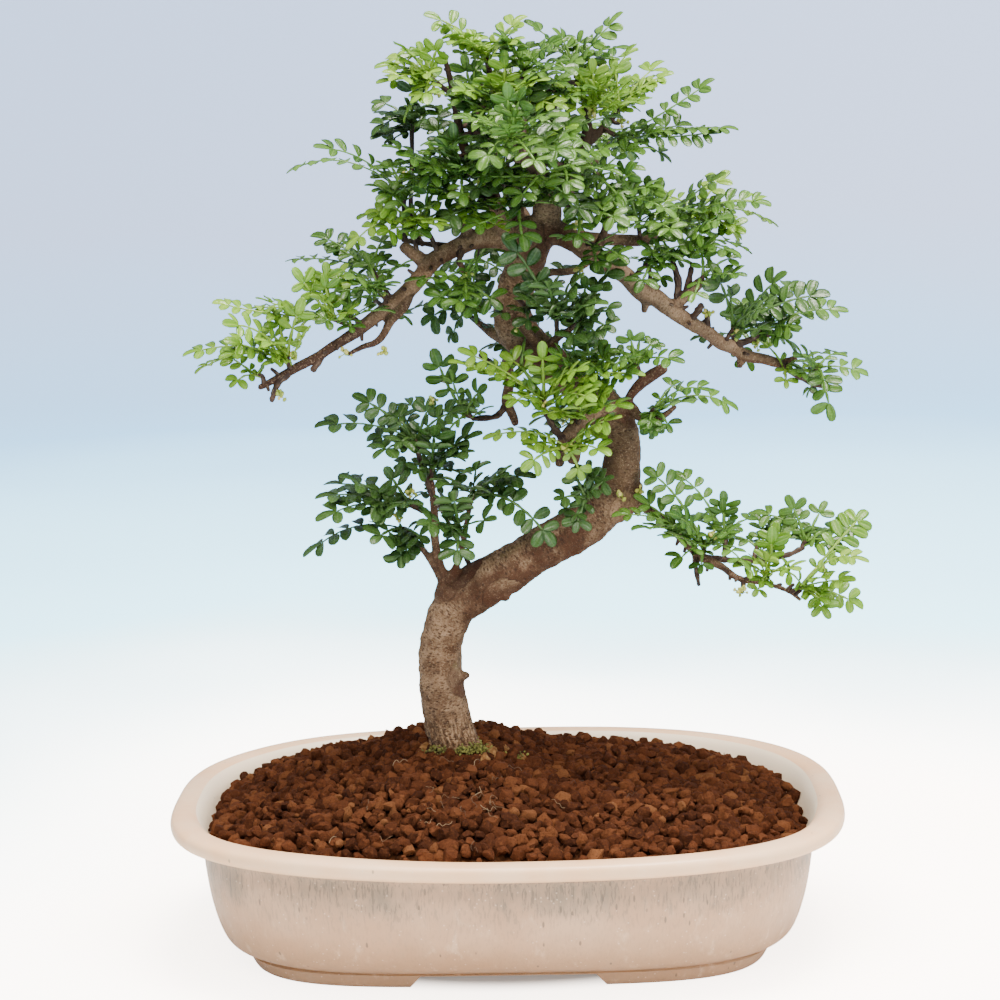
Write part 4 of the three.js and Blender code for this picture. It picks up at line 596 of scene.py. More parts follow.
def stretched(tree, place, scale):
    return node(tree, "Mapping", {"Vector": place, "Scale": scale}).outputs["Vector"]


def math_node(tree, operation, first, second=0.0, third=0.0):
    made = node(tree, "Math", {0: first, 1: second, 2: third}, operation=operation)
    return made.outputs["Value"]


def times(tree, first, second):
    return math_node(tree, "MULTIPLY", first, second)


def larger(tree, first, second):
    return math_node(tree, "MAXIMUM", first, second)


def one_minus(tree, value):
    return math_node(tree, "SUBTRACT", 1.0, value)


def vector_length(tree, vector):
    return node(tree, "VectorMath", {0: vector}, operation="LENGTH").outputs["Value"]


def from_middle(tree, place, middle=(0, 0, 0)):
    """Place seen from a point listed in mm round the pot's middle"""
    sockets = {0: place, 1: tuple(np.array(middle) * MM + POT_MIDDLE)}
    return node(tree, "VectorMath", sockets, operation="SUBTRACT").outputs["Vector"]


def height_mm(tree, place):
    """Z of a place, in mm"""
    return times(tree, node(tree, "SeparateXYZ", {0: place}).outputs["Z"], 1 / MM)


def between(tree, value, low, high, to_low=0.0, to_high=1.0):
    """value from low..high to to_low..to_high, smoothly and held inside"""
    sockets = {"Value": value, "From Min": low, "From Max": high, "To Min": to_low, "To Max": to_high}
    made = node(tree, "MapRange", sockets, interpolation_type="SMOOTHSTEP", clamp=True)
    return made.outputs["Result"]


def blend_colours(tree, factor, first, second, kind="MIX"):
    """From the first colour at factor 0 to the second at 1"""
    made = node(tree, "Mix", data_type="RGBA", blend_type=kind)
    for key, value in (("Factor_Float", factor), ("A_Color", first), ("B_Color", second)):
        put(tree, next(s for s in made.inputs if s.identifier == key), value)
    return next(s for s in made.outputs if s.identifier == "Result_Color")


def tint(tree, colour, tone, share, strength=None):
    """The colour turned to a tone by a share, itself weakened by a strength"""
    if strength is not None:
        share = times(tree, share, strength)
    return blend_colours(tree, share, colour, (*tone, 1))


def spots(tree, place, scale, channel, low, high, chosen):
    """Round spots in some of a pattern's cells, with edges between low and high; chosen gives
    a cell's strength from its random number"""
    cells = node(tree, "TexVoronoi", {"Vector": place, "Scale": scale})
    number = node(tree, "SeparateColor", {0: cells.outputs["Color"]}).outputs[channel]
    return times(tree, between(tree, cells.outputs["Distance"], low, high), chosen(number))


def near(tree, place, centre, spread, low, high):
    """1 near a place listed in mm, fading to 0 between low and high spreads away from it"""
    offset = stretched(tree, from_middle(tree, place, centre), tuple(1 / (s * MM) for s in spread))
    return between(tree, vector_length(tree, offset), high, low)


def colour_steps(tree, value, steps):
    """Colour ramp of (place, colour) steps"""
    made = node(tree, "ValToRGB", {"Fac": value})
    ramp = made.color_ramp
    while len(ramp.elements) < len(steps):
        ramp.elements.new(1)
    for element, (place, colour) in zip(ramp.elements, steps):
        element.position = place
        element.color = (*colour, 1)
    return made.outputs["Color"]


def bump(tree, height, depth, strength=1.0, under=None):
    """Relief of depth mm from a height of 0 to 1, on top of another relief's normal"""
    sockets = {"Height": height, "Distance": depth * MM, "Strength": strength}
    if under is not None:
        sockets["Normal"] = under
    return node(tree, "Bump", sockets).outputs["Normal"]


def connect(tree, shader, **values):
    """Puts numbers or other nodes' outputs into the shader's sockets"""
    sockets = {"colour": "Base Color", "roughness": "Roughness", "normal": "Normal",
        "specular": "Specular IOR Level", "coat": "Coat Weight", "coat_roughness": "Coat Roughness",
        "glow_colour": "Emission Color", "glow": "Emission Strength"}
    for key, value in values.items():
        put(tree, shader.inputs[sockets[key]], value)


# Pot: each profile is a list of half length, half depth, exponent and height
POT_OUTSIDE = [
    [110, 75.2, 3.5, FOOT_HEIGHT + 0.6],
    [112.8, 77.2, 3.35, 8.0],
    [116.4, 79.6, 3.2, 9.2],
    [118.8, 82.2, 3.1, 11.2],
    [120.6, 84.7, 3.02, 14.4],
    [122.3, 87.2, 2.95, 19],
    [124.3, 89.6, 2.85, 26],
    [125.8, 91.2, 2.78, 34],
    [126.8, 92.3, 2.74, 42],
    [127, 92.6, 2.72, 48],
    [128.2, 93.6, 2.72, 51],
    [132, 96.8, 2.72, 52.7],
    [136.8, 101.2, 2.72, 53.6],
    [139.4, 103.5, 2.72, 55.2],
    [HALF_LENGTH, HALF_DEPTH, 2.72, 57.6],
    [139.3, 103.4, 2.72, 59.6],
    [136.8, 101, 2.72, 60.7],
    [133.6, 98, 2.72, POT_HEIGHT - 0.1],
    [130.8, 95.4, 2.72, 60.4],
    [128.4, 93.1, 2.72, 58.6],
    [126.3, 91.2, 2.73, 55.2],
    [124.3, 89.4, 2.74, 50.5],
    [121.5, 86.8, 2.76, 45],
    [117.5, 83.8, 2.8, 36],
]
POT_INSIDE = [[110, 79, 3.0, 19], [100, 71, 3.1, 14], [88, 62, 3.2, 13]]
FOOT_RING = [
    [108.8, 73.8, 3.7, 8.4],
    [109.1, 74.0, 3.7, 7.0],
    [110.1, 74.8, 3.7, 6.2],
    [109.3, 74.0, 3.7, 5.6],
    [108.4, 73.0, 3.75, 3.2],
    [107.2, 71.8, 3.8, 1.0],
    [106.4, 71.0, 3.8, 0.1],
    [99, 64.8, 3.8, 0.1],
    [97.7, 63.6, 3.8, 1.0],
    [96.5, 62.5, 3.8, 8.4],
]


def oval(half_length, half_depth, exponent, height, turns):
    """Superellipse ring of points, a little squarer in front"""
    power = 2 / (exponent + FRONT_SQUARE * (np.sin(turns) < -1e-6))
    x = half_length * np.sign(np.cos(turns)) * np.abs(np.cos(turns)) ** power
    y = half_depth * np.sign(np.sin(turns)) * np.abs(np.sin(turns)) ** power
    return np.stack([x, y, np.full_like(turns, height)], axis=1)


def oval_turns(count):
    """Angles that space a superellipse's points about evenly"""
    turns = np.linspace(0, 2 * np.pi, 4001)
    run = run_along(oval(HALF_LENGTH, HALF_DEPTH, LIP_EXPONENT, 0, turns))
    return np.interp(np.linspace(0, run[-1], count, endpoint=False), run, turns)


def closed_stack(rows, low, high):
    """Points and faces of rings joined in order, closed by fans round a low and a high point"""
    count = len(rows[0])
    points = np.concatenate([*rows, [[0, 0, low], [0, 0, high]]])
    faces = strip_faces(len(rows), count)
    last = (len(rows) - 1) * count
    for side in range(count):
        following = (side + 1) % count
        faces.append((following, side, len(points) - 2))
        faces.append((last + side, last + following, len(points) - 1))
    return points, faces


def smooth_profile(profile, per_span):
    """Curve through rows of half length, half depth, exponent and height"""
    rows = np.array(profile, float)
    path = curve_through(rows[:, [0, 3, 1, 2]], per_span)
    return path[:, [0, 2, 3, 1]]


def gap_wedge(width, length, turned):
    """Slanted block between two feet"""
    top = FOOT_HEIGHT - 0.9
    half, low = width / 2, width / 2 + FOOT_SLANT
    corners = [(-low, -1), (low, -1), (half, top), (-half, top)]
    points = [(x, y, z) for y in (-length / 2, length / 2) for x, z in corners]
    if turned:
        points = [(-y, x, z) for x, y, z in points]
    wedge = Shape()
    faces = [(0, 1, 2, 3), (7, 6, 5, 4), (0, 4, 5, 1), (1, 5, 6, 2), (2, 6, 7, 3), (3, 7, 4, 0)]
    wedge.add(points, faces)
    return wedge.mesh("wedge")


def cut(mesh, tools):
    """The mesh with each tool mesh cut out of it"""
    for tool in tools:
        holder = link("tool", tool)
        mesh = applied(mesh, "cut", ("BOOLEAN", {"object": holder, "operation": "DIFFERENCE"}))
        bpy.data.objects.remove(holder)
    return mesh


def make_feet(turns):
    """Low ring under the pot, cut into four feet and bevelled"""
    ring = Shape()
    rings = smooth_profile(FOOT_RING, 2)
    rings[:, 3] = np.maximum(rings[:, 3], 0)
    faces = strip_faces(len(rings), len(turns), closed=True)
    ring.add(np.concatenate([oval(*row, turns) for row in rings]), faces)
    gaps = [gap_wedge(FOOT_GAP_FRONT, 2 * HALF_DEPTH, False),
        gap_wedge(FOOT_GAP_SIDE, 2 * HALF_LENGTH, True)]
    return applied(cut(ring.mesh("foot_ring"), gaps), "feet", ("BEVEL", {"width": 0.9 * MM,
        "segments": 3, "limit_method": "ANGLE", "angle_limit": math.radians(42)}))


def make_pot():
    """Glazed body and feet as one mesh; the lip rises and falls a little, as it does by hand"""
    turns = oval_turns(176)
    feet = make_feet(turns)
    body = Shape()
    rings = np.concatenate([smooth_profile(POT_OUTSIDE, 3), smooth_profile(POT_INSIDE, 2)])
    drift = np.array([noise.noise(Vector(place * 0.011)) for place in oval(*rings[30], turns)])
    rows = []
    for ring in rings:
        row = oval(*ring, turns)
        row[:, 2] += drift * 1.6 * np.clip((ring[3] - 20) / 40, 0, 1)
        rows.append(row)
    body.add(*closed_stack(rows, rings[0][3], rings[-1][3]))
    feet_points = (np.array([vertex.co for vertex in feet.vertices]) - POT_MIDDLE) / MM
    body.add(feet_points, [tuple(face.vertices) for face in feet.polygons])
    mesh = body.mesh("pot_glazed")
    make_piece("pot_glazed", mesh, glaze_material(), ["pot"], sharp=50)


def glaze_lip(tree, place):
    """Where the pale glaze of the lip and the inside shows, and where only the inside does, which
    gets painted light
    """
    centred = from_middle(tree, place)
    parts = node(tree, "SeparateXYZ", {0: centred}).outputs
    height = height_mm(tree, centred)

    def power(value, exponent):
        return math_node(tree, "POWER", value, exponent)

    # The same superellipse as the wall, whose inner face leans out as it rises
    across = power(math_node(tree, "ABSOLUTE", parts["X"]), LIP_EXPONENT)
    deep = power(times(tree, math_node(tree, "ABSOLUTE", parts["Y"]), 1.37), LIP_EXPONENT)
    reach = power(math_node(tree, "ADD", across, deep), 1 / LIP_EXPONENT)
    wall = math_node(tree, "MULTIPLY_ADD", height, 0.4 * MM, 0.106)
    inside = times(tree, math_node(tree, "LESS_THAN", reach, wall),
        math_node(tree, "GREATER_THAN", height, 22.0))
    return larger(tree, between(tree, height, 50.6, 52.4), inside), inside


def glaze_body(tree, place):
    """Peach body with a grey zone of runs and ticks below the lip, darkened there also by painted
    shade from the lip; also gives the ticks
    """
    waver = between(tree, pattern(tree, place, 14, 4), 0.25, 0.75, -4, 4)
    height = math_node(tree, "ADD", height_mm(tree, place), waver)
    broad = between(tree, pattern(tree, place, 34, 4), 0.3, 0.7)
    colour = blend_colours(tree, broad, (0.53, 0.300, 0.165, 1), (0.62, 0.385, 0.235, 1))
    colour = tint(tree, colour, (0.36, 0.222, 0.120), between(tree, height, 36, 6, 0, 0.7))
    cloud = pattern(tree, stretched(tree, place, (1, 1, 0.4)), 5, 5, 0.65)
    colour = tint(tree, colour, (0.82, 0.60, 0.42), between(tree, cloud, 0.55, 0.75, 0, 0.35))
    colour = tint(tree, colour, (0.44, 0.30, 0.19), between(tree, cloud, 0.46, 0.28, 0, 0.3))
    # Below the lip the glaze greys, and the same mask adds painted shade from the lip's overhang
    under_lip = times(tree, between(tree, height, 26, 47), between(tree, height, 58, 53))
    patches = pattern(tree, stretched(tree, place, (1, 1, 0.5)), 26, 3)
    glaze_band_and_lip_shade = times(tree, under_lip, between(tree, patches, 0.36, 0.60, 0.55, 1))
    grey_glaze_and_shade_share = times(tree, glaze_band_and_lip_shade, between(tree, cloud, 0.3, 0.65, 0.5, 1.0))
    colour = tint(tree, colour, (0.265, 0.190, 0.125), grey_glaze_and_shade_share)
    streaks = pattern(tree, stretched(tree, place, (1, 1, 0.16)), 0.9, 4, 0.6)
    strength = math_node(tree, "MULTIPLY_ADD", glaze_band_and_lip_shade, 0.85, 0.12)
    colour = tint(tree, colour, (0.185, 0.135, 0.092), between(tree, streaks, 0.5, 0.62), strength)
    few = between(tree, glaze_band_and_lip_shade, 0.0, 0.9, 0.95, 0.70)
    ticks = spots(tree, stretched(tree, place, (1, 1, 0.30)), 420.0, "Red", 0.26, 0.14,
        lambda number: math_node(tree, "GREATER_THAN", number, few))
    return tint(tree, colour, (0.12, 0.085, 0.06), ticks, 0.72), ticks


def glaze_material():
    """Pale peach glaze that greys, with painted shade from the lip, and breaks into short dark ticks
    just below the lip; painted light on the inside wall
    """
    material, tree, shader = new_material("satin_glaze")
    place = object_place(tree)
    colour, ticks = glaze_body(tree, place)
    lip, inside = glaze_lip(tree, place)
    pale = between(tree, pattern(tree, place, 26, 3), 0.3, 0.7)
    pale = blend_colours(tree, pale, (0.93, 0.54, 0.285, 1), (0.96, 0.63, 0.38, 1))
    # Over the inside wall the pale glaze is made paler still: painted light, where the lamps leave
    # the wall darker
    colour = blend_colours(tree, lip, colour, tint(tree, pale, (0.98, 0.78, 0.56), inside))
    specks = spots(tree, stretched(tree, place, (1, 1, 0.55)), 210.0, "Red", 0.13, 0.06,
        lambda number: math_node(tree, "GREATER_THAN", number, 0.84))
    colour = tint(tree, colour, (0.15, 0.09, 0.06), specks, 0.55)
    grains = spots(tree, place, 640.0, "Green", 0.3, 0.12,
        lambda number: math_node(tree, "GREATER_THAN", number, 0.86))
    colour = tint(tree, colour, (0.92, 0.74, 0.58), grains, 0.35)
    relief = bump(tree, pattern(tree, place, 12, 2), 0.35, 0.5)
    relief = bump(tree, pattern(tree, place, 0.9, 3), 0.04, 0.5, relief)
    relief = bump(tree, ticks, -0.08, 0.6, relief)
    sheen = between(tree, pattern(tree, place, 6, 4), 0.3, 0.7, 0.36, 0.5)
    connect(tree, shader, colour=colour, roughness=sheen, normal=relief, coat=0.2,
        coat_roughness=0.24)
    return material


# Soil: how deep its bed lies under the granules' level, and how far apart the granules are
BED_DEPTH, GRANULE_SPACING = 2.9, 5.0


def wall_share(points):
    """How far from the middle to the soil's edge each point is, 0 to 1"""
    x, y = np.abs(points[..., 0]) / SOIL_LENGTH, np.abs(points[..., 1]) / SOIL_DEPTH
    exponent = SOIL_EXPONENT + FRONT_SQUARE * (points[..., 1] < 0)
    return (x ** exponent + y ** exponent) ** (1 / exponent)


def mound(points):
    """Height of the soil's surface"""
    share = wall_share(points)
    along = points[..., 0] / (np.hypot(points[..., 0], points[..., 1]) + 1e-9)
    fall = SOIL_END_DROP * along ** 2 + SOIL_TILT * along
    edge = SOIL_EDGE - fall * np.clip(share * 2, 0, 1)
    top = SOIL_TOP + np.interp(points[..., 0], *zip(*SOIL_CREST))
    return edge + (top - edge) * (1 - np.clip(share, 0, 1) ** 2.6)


def make_soil():
    """Dark bed under the granules, closed down to the pot's floor"""
    turns = oval_turns(120)
    rows = [oval(88, 62, 3.2, 14, turns), oval(109, 78, 3.0, 20, turns)]
    for share in np.linspace(0.985, 0.05, 34):
        row = oval(SOIL_LENGTH * share, SOIL_DEPTH * share, SOIL_EXPONENT, 0, turns)
        lumps = [noise.noise(Vector(place * 0.21)) for place in row]
        row[:, 2] = mound(row) - BED_DEPTH + np.array(lumps) * 1.5
        rows.append(row)
    shape = Shape()
    shape.add(*closed_stack(rows, rows[0][0][2], mound(np.zeros(3)) - BED_DEPTH))
    make_piece("soil_bed", shape.mesh("soil_bed"), bed_material(), ["soil"])


def add_granule(shape, place, size, source, look, template=BALL):
    """Crumb of baked clay: a ball pressed flat on a few random sides and roughened"""
    points, faces = template
    points = points.copy()
    for _ in range(6):
        side = unit(random_vector(source))
        over = points @ side - source.uniform(0.5, 0.85)
        points -= np.outer(np.clip(over, 0, None), side) * 0.85
    shift = Vector([source.uniform(0, 50) for _ in range(3)])
    swell = [1 + 0.30 * noise.noise(Vector(point * 1.9) + shift)
        + 0.22 * noise.noise(Vector(point * 4.6) - shift) for point in points]
    stretch = [source.uniform(0.85, 1.2), source.uniform(0.8, 1.05), source.uniform(0.66, 0.95)]
    points = points * np.array(swell)[:, None] * stretch
    shape.add(points @ random_turn(source).T * size + place, faces, look)


def from_trunk(place):
    """Distance from the trunk's foot, seen from above"""
    foot = seen(*TRUNK[1][:3])
    return math.hypot(place[0] - foot[0], place[1] - foot[1])


def lay_granules(halves, source):
    """Granules of mixed sizes on a shaken honeycomb, in a front and a back half"""
    step = GRANULE_SPACING * 0.866
    for row in range(int(2 * HALF_DEPTH / step) + 2):
        for column in range(int(2 * HALF_LENGTH / GRANULE_SPACING) + 2):
            x = (column + 0.5 * (row % 2)) * GRANULE_SPACING - HALF_LENGTH + source.uniform(-1.3, 1.3)
            y = row * step - HALF_DEPTH + source.uniform(-1.3, 1.3)
            size = source.choice((2.4, 2.8, 3.1, 3.4, 3.8, 4.1)) * source.uniform(0.92, 1.08)
            lift, shade = source.uniform(-0.7, 1.5), source.random()
            place = np.array([x, y, 0.0])
            if wall_share(place) > 0.997 - size / 120:
                continue
            place[2] = mound(place) - 1.1 + lift - 0.3 * max(size - 2.5, 0)
            if from_trunk(place) < 10.5:
                continue
            add_granule(halves[y >= 0], place, size, source, (shade, source.random(), 0, 0))


def scatter(halves, source, count, reach, sizes, limit, clearance, lift, template):
    """Loose granules thrown on the soil, clear of the wall and the trunk"""
    for _ in range(count):
        x, y = source.uniform(-reach[0], reach[0]), source.uniform(-reach[1], reach[1])
        place = np.array([x, y, 0.0])
        size = source.uniform(*sizes)
        if wall_share(place) > limit or from_trunk(place) < clearance:
            continue
        place[2] = mound(place) + lift(size)
        look = (source.random(), source.random(), 0, 0)
        add_granule(halves[y >= 0], place, size, source, look, template)


def make_granules():
    """Single granules and crumbs over the bed, and a few tan stones by the trunk"""
    source = random.Random(SEED + 2)
    front, back, crumbs, stones = Shape(), Shape(), Shape(), Shape()
    lay_granules((front, back), source)
    scatter((front, back), source, 560, (124, 89), (1.9, 3.3), 0.975, 13,
        lambda size: size * 0.55, BALL)
    scatter((crumbs, crumbs), source, 900, (126, 91), (0.7, 1.5), 0.985, 12,
        lambda size: source.uniform(0, 1.2) - 0.6, SMALL_BALL)
    for x, y, size in STONES:
        place = np.array([x, y, 0.0])
        place[2] = mound(place) + 0.4
        add_granule(stones, place, size, source, (source.random(), 0, 0, 0), ball_template(3))
    material = granule_material()
    for name, shape, sharp in (("granules_front", front, 38), ("granules_back", back, 38),
            ("crumbs", crumbs, 30)):
        make_piece(name, shape.mesh(name), material, sharp=sharp)
    make_piece("tan_stones", stones.mesh("tan_stones"), stone_material())


def bed_material():
    """Dark clay seen between the granules, partly damp clay and partly painted shade in the gaps"""
    material, tree, shader = new_material("soil_in_shade")
    place = object_place(tree)
    colour = colour_steps(tree, pattern(tree, place, 2.2, 5, 0.6),
        [(0.3, (0.018, 0.007, 0.003)), (0.7, (0.075, 0.027, 0.011))])
    relief = bump(tree, pattern(tree, place, 1.6, 5, 0.65), 1.2)
    connect(tree, shader, colour=colour, normal=relief, roughness=0.97, specular=0.04)
    return material


def granule_material():
    """Baked clay: each granule has its own tone, with craggy dark pores and pale dust"""
    material, tree, shader = new_material("baked_clay")
    place = object_place(tree)
    colour = colour_steps(tree, look_values(tree)[0], [(0.0, (0.038, 0.0115, 0.0046)),
        (0.3, (0.062, 0.0190, 0.0074)), (0.7, (0.096, 0.0300, 0.0118)),
        (0.93, (0.134, 0.046, 0.0175)), (1.0, (0.175, 0.068, 0.026))])
    mottle = pattern(tree, place, 1.3, 6, 0.7)
    colour = tint(tree, colour, (0.170, 0.058, 0.021), between(tree, mottle, 0.50, 0.72, 0, 0.6))
    colour = tint(tree, colour, (0.026, 0.008, 0.0035), between(tree, mottle, 0.46, 0.30, 0, 0.8))
    pores = pattern(tree, place, 0.5, 4, 0.7)
    colour = tint(tree, colour, (0.020, 0.0065, 0.003), between(tree, pores, 0.47, 0.30, 0, 0.8))
    relief = bump(tree, pores, 0.42, 0.9, bump(tree, mottle, 1.1))
    connect(tree, shader, colour=colour, normal=relief, roughness=0.95, specular=0.08)
    return material


def stone_material():
    """Tan stone with darker hollows"""
    material, tree, shader = new_material("tan_stone")
    place = object_place(tree)
    colour = colour_steps(tree, pattern(tree, place, 1.8, 5, 0.6), [(0.3, (0.085, 0.034, 0.011)),
        (0.5, (0.21, 0.098, 0.034)), (0.72, (0.33, 0.180, 0.070))])
    relief = bump(tree, pattern(tree, place, 1.0, 5, 0.65), 0.6)
    connect(tree, shader, colour=colour, normal=relief, roughness=0.9, specular=0.15)
    return material


# Wood: limbs at least this thick somewhere are part of the one skin, the others are twigs
THICK = 2.1
# Where the trunk starts, below the soil: x, z, y, radius
TRUNK_FOOT = [-21, 58, 3, 11]
# The second colour is a dark red-brown, for rusty bark and for painted shade on undersides and in
# forks
BARK_DARK, BARK_RUST_AND_SHADE = (0.078, 0.038, 0.018), (0.064, 0.0200, 0.0080)
# Places on the bark with a colour of their own: middle and spread in mm, how many spreads away
# they fade from and to, strength, colour
BARK_STAINS = [
    ((-78, -14, 246), (34, 30, 24), 0.75, 1.15, 0.86, (0.040, 0.0165, 0.0115)),
    ((72, 10, 262), (44, 40, 26), 0.8, 1.15, 0.33, (0.300, 0.195, 0.125)),
    ((62, -9, 232), (14, 30, 12), 0.7, 1.1, 0.8, (0.070, 0.024, 0.014)),
    ((-22, -9, 123), (4.4, 12, 2.2), 0.55, 1.1, 0.8, (0.075, 0.030, 0.012)),
]


def limb_path(points, per_span):
    """Smooth middle line of a limb, with its radius"""
    rows = [[*seen(x, z, y), radius] for x, z, y, radius in points]
    return curve_through(rows, per_span)


def is_thick(points):
    """Whether a limb is part of the one skin"""
    return max(row[3] for row in points) >= THICK


def make_wood():
    """Trunk and thick limbs grown together as one skin, then lumps and fissures"""
    source = random.Random(SEED + 3)
    limbs = [[TRUNK_FOOT, *TRUNK], *BRANCHES, *UPRIGHTS, *filter(is_thick, TWIGS)]
    shape = Shape()
    for number, points in enumerate(limbs):
        sides = 20 if number == 0 else 12
        tube(shape, limb_path(points, 5), sides, (0, 0, 0, 0), source, 0.05)
    skin = applied(shape.mesh("skin"), "skin", ("REMESH", {"mode": "VOXEL", "voxel_size": 0.82 * MM}),
        ("SMOOTH", {"factor": 0.5, "iterations": 3}))
    places = np.empty(len(skin.vertices) * 3, np.float32)
    normals = np.empty(len(skin.vertices) * 3, np.float32)
    skin.vertices.foreach_get("co", places)
    skin.vertex_normals.foreach_get("vector", normals)
    places = (places.reshape(-1, 3) - POT_MIDDLE) / MM
    looks, grains, rise = read_limbs(places, limbs)
    places += normals.reshape(-1, 3) * rise[:, None]
    skin.vertices.foreach_set("co", (places * MM + POT_MIDDLE).ravel())
    put_values(skin, looks, grains)
    make_piece("trunk_and_branches", skin, bark_material(), ["wood"])


def bark_rise(place, grain, size, base):
    """How far the bark stands out: lumps all over, strands and fissures towards the foot"""
    lumps = noise.noise(Vector(place * 0.07)) * 0.9 + noise.noise(Vector(place * 0.19)) * 0.5
    strands = noise.noise(Vector((grain[0] * 0.55, grain[1] * 0.55, grain[2] * 0.10)))
    fissures = noise.noise(Vector((grain[0] * 1.1, grain[1] * 1.1, grain[2] * 0.22 + 9)))
    wrinkles = noise.noise(Vector((grain[0] * 0.25, grain[1] * 0.25, grain[2] * 0.9)))
    rise = lumps * size * 0.75 + base * (strands * 0.8 + fissures * 0.45)
    return rise + wrinkles * 0.22 * size + strands * 0.18 * size


def read_limbs(places, limbs):
    """For each place on the skin: its look (limb thickness, how far round to the underside,
    nearness to the soil, chance), its grain round and along the nearest limb, and its rise"""
    paths = [limb_path(points, 8) for points in limbs]
    rows = np.concatenate(paths)
    alongs = np.concatenate([run_along(path) + number * 40 for number, path in enumerate(paths)])
    fields = np.concatenate([np.stack(frames_along(path), axis=1) for path in paths])
    tree = kdtree.KDTree(len(rows))
    for index, row in enumerate(rows):
        tree.insert(row[:3], index)
    tree.balance()
    looks, grains, rises = [], [], []
    for place in places:
        _, index, _ = min(tree.find_n(place, 7), key=lambda hit: hit[2] - rows[hit[1]][3])
        ahead, across, beside = fields[index]
        out = place - rows[index][:3]
        grain = (np.dot(out, across), np.dot(out, beside), alongs[index] + np.dot(out, ahead))
        size = min(rows[index][3] / 9, 1)
        under = 0.5 - 0.5 * out[2] / (np.linalg.norm(out) + 1e-6)
        base = np.clip((104 - place[2]) / 26, 0, 1)
        looks.append((size, under, base, noise.noise(Vector(place * 0.04)) * 0.5 + 0.5))
        grains.append(grain)
        rises.append(bark_rise(place, grain, size, base))
    return np.array(looks), np.array(grains), np.array(rises)


def rust_and_shade_share(tree, place, under):
    """Rusty red-brown on the bend's underside, partly the bark's own colour and partly painted shade,
    and on a knob; painted shade in the same colour in the forks, under the trunk's turn and on all
    undersides
    """
    edge = between(tree, pattern(tree, place, 12, 5, 0.65), 0.24, 0.52)
    # Under the bend: partly rusty bark, partly painted shade
    bend = near(tree, place, (10, -5, 160), (38, 40, 24), 0.8, 1.1)
    rust_and_shade = times(tree, times(tree, bend, between(tree, under, 0.22, 0.42)), edge)
    # Painted shade in the fork of the crown
    crotch_shade = near(tree, place, (21, 0, 288), (13, 30, 12), 0.6, 1.1)
    rust_and_shade = larger(tree, rust_and_shade, times(tree, crotch_shade, edge))
    # Painted shade on all undersides
    underside_shade = times(tree, between(tree, under, 0.62, 0.9), edge)
    rust_and_shade = larger(tree, rust_and_shade, times(tree, underside_shade, 0.8))
    knob = near(tree, place, (-24, -4, 148), (9, 20, 6), 0.5, 1.1)
    rust_and_shade = larger(tree, rust_and_shade, times(tree, knob, 0.8))
    # Painted shade in the hollow under the trunk's turn
    joint_shade = near(tree, place, (-13, -3, 137), (7, 20, 15), 0.4, 1.1)
    return larger(tree, rust_and_shade, times(tree, joint_shade, 0.75))


def bark_ground(tree, place, size, under, rust_and_shade):
    """Colour of the bark before its fine detail: tan trunk, dark young wood, stains"""
    height = height_mm(tree, place)
    smooth = blend_colours(tree, between(tree, pattern(tree, place, 8, 4), 0.35, 0.65),
        (0.145, 0.077, 0.040, 1), (0.280, 0.168, 0.095, 1))
    young = blend_colours(tree, between(tree, pattern(tree, place, 4, 4), 0.35, 0.65),
        (0.045, 0.021, 0.012, 1), (0.120, 0.064, 0.036, 1))
    colour = blend_colours(tree, between(tree, size, 0.15, 0.45), young, smooth)
    upper = times(tree, between(tree, height, 168, 195, 0, 0.55),
        between(tree, height, 258, 236, 0.15, 1))
    colour = tint(tree, colour, (0.072, 0.038, 0.018), upper, between(tree, size, 0.5, 0.75))
    # Rusty red-brown, partly the bark's own colour and partly painted shade under the limbs and in
    # the forks
    colour = tint(tree, colour, BARK_RUST_AND_SHADE, rust_and_shade, 0.94)
    patches = between(tree, pattern(tree, place, 6, 4), 0.4, 0.62, 0, 0.6)
    colour = tint(tree, colour, (0.115, 0.088, 0.036), between(tree, under, 0.30, 0.12), patches)
    for middle, spread, low, high, strength, tone in BARK_STAINS:
        colour = tint(tree, colour, tone, near(tree, place, middle, spread, low, high), strength)
    return colour


